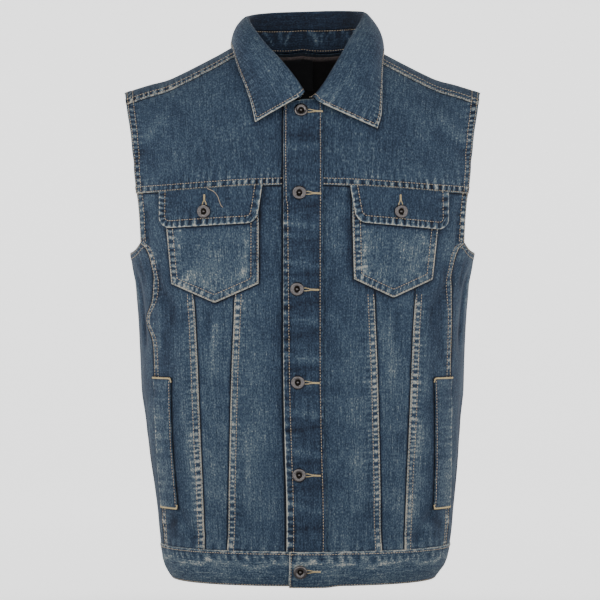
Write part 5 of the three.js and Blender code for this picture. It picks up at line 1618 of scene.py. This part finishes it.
# %% [markdown]
# ## Buttons
# The buttons are stamped metal caps on a shank, riveted through the cloth. A cap is round, so it is a
# profile turned about its axis: a broad rim that slopes in, a small sunk ring where dirt and dark plating
# stay, and a raised middle that rubs bright. They are fastened, so they sit where the placket holds them.

# %% Metal
def metal(name, colour, roughness):
    """Plated metal, spotted between two colours."""
    material, tree, shader, place = new_finish(name, Metallic=1.0, Roughness=roughness)
    spots = node(tree, "ShaderNodeTexNoise", {"Vector": place, "Scale": 700.0, "Detail": 3.0}).outputs["Fac"]
    tree.links.new(mixed(tree, spots, colour), shader.inputs["Base Color"])
    return material


# Antique nickel: grey-brown, and bright only where it is rubbed
RUBBED = metal("rubbed_antique_nickel", ("#2F2C2D", "#6B6766"), 0.22)
# Plating in the ring: nothing rubs it, so it stays nearly black
DARK = metal("dark_plating_in_the_ring", ("#131110", "#27231F"), 0.45)
print("finishes:", RUBBED.name, DARK.name)

# %% A turned cap
CAP = np.array([  # out from the axis, up from the cloth
    (0, 0), (3.4, 0), (3.4, 1.0), (7.4, 1.0), (8.3, 1.5), (8.5, 2.0), (8.45, 2.6), (8.1, 3.2), (7.4, 3.65),
    (6.4, 3.8), (5.2, 3.6), (4.2, 3.3), (3.5, 2.8), (3.1, 2.1), (2.6, 1.8), (2.1, 1.9), (1.8, 2.4),
    (1.4, 3.0), (0.8, 3.4), (0, 3.5)])
DARK_RINGS = range(11, 15)  # steps of the profile inside the rim
FACETS = 28
OVER_CLOTH = 0.4

def add_button(name, turn, rise, off):
    """A cap that stands straight out of the form, off mm from it."""
    turn, rise = np.array(float(turn)), np.array(float(rise))
    point, normal = form_point(turn, rise), form_normal(turn, rise)
    point = point + normal * (off + fold_depth(turn, point[2], FOLDS))
    turned = np.array(Vector((0, 0, 1)).rotation_difference(Vector(normal)).to_matrix())
    angle = np.arange(FACETS) * 2 * np.pi / FACETS
    ring = np.stack([np.cos(angle), np.sin(angle)], axis=-1)
    middle = CAP[1:-1]
    up = np.broadcast_to(middle[:, None, 1:], (len(middle), FACETS, 1))
    points = np.concatenate([ring[None] * middle[:, None, :1], up], axis=-1).reshape(-1, 3)
    points = np.concatenate([points, [[0, 0, CAP[0, 1]], [0, 0, CAP[-1, 1]]]])
    foot, crown, last = len(points) - 2, len(points) - 1, (len(middle) - 1) * FACETS
    after = [(i + 1) % FACETS for i in range(FACETS)]
    faces = [(r * FACETS + i, r * FACETS + j, (r + 1) * FACETS + j, (r + 1) * FACETS + i)
             for r in range(len(middle) - 1) for i, j in enumerate(after)]
    faces += [(foot, j, i) for i, j in enumerate(after)]
    faces += [(crown, last + i, last + j) for i, j in enumerate(after)]
    dark = np.zeros(len(faces), dtype=np.int32)
    dark[DARK_RINGS.start * FACETS:DARK_RINGS.stop * FACETS] = 1
    piece = add_mesh("cap_" + name, points @ turned.T + point, faces, (RUBBED, DARK), dark)
    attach(piece, "root")
    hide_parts(name)


print("a cap:", 2 * CAP[:, 0].max(), "mm across and", CAP[:, 1].max(), "mm high")

# %% [markdown]
# A button lies on the uppermost layer at its place: the placket, the lifted end of the waistband or a flap.

# %% Buttons in their places
for number, (out, height) in enumerate(BUTTONS, 1):
    rise = rise_at(np.array(float(height)), np.array(float(out)))
    off = BAND_BASE + BAND_LIFT + BAND_THICK if height < BAND_TOP else PLACKET_BASE + PLACKET_THICK
    add_button(f"button_{number}", turn_at(out - middle_at(rise), rise), rise, off + OVER_CLOTH)
for side, word in SIDES:
    out, height = FLAP_BUTTON
    rise = rise_at(np.array(float(height)), np.array(float(out)))
    add_button(f"flap_button_{word}", side * turn_at(out, rise), rise, FLAP_BASE + FLAP_THICK + OVER_CLOTH)
print("buttons:", len(BUTTONS) + 2)
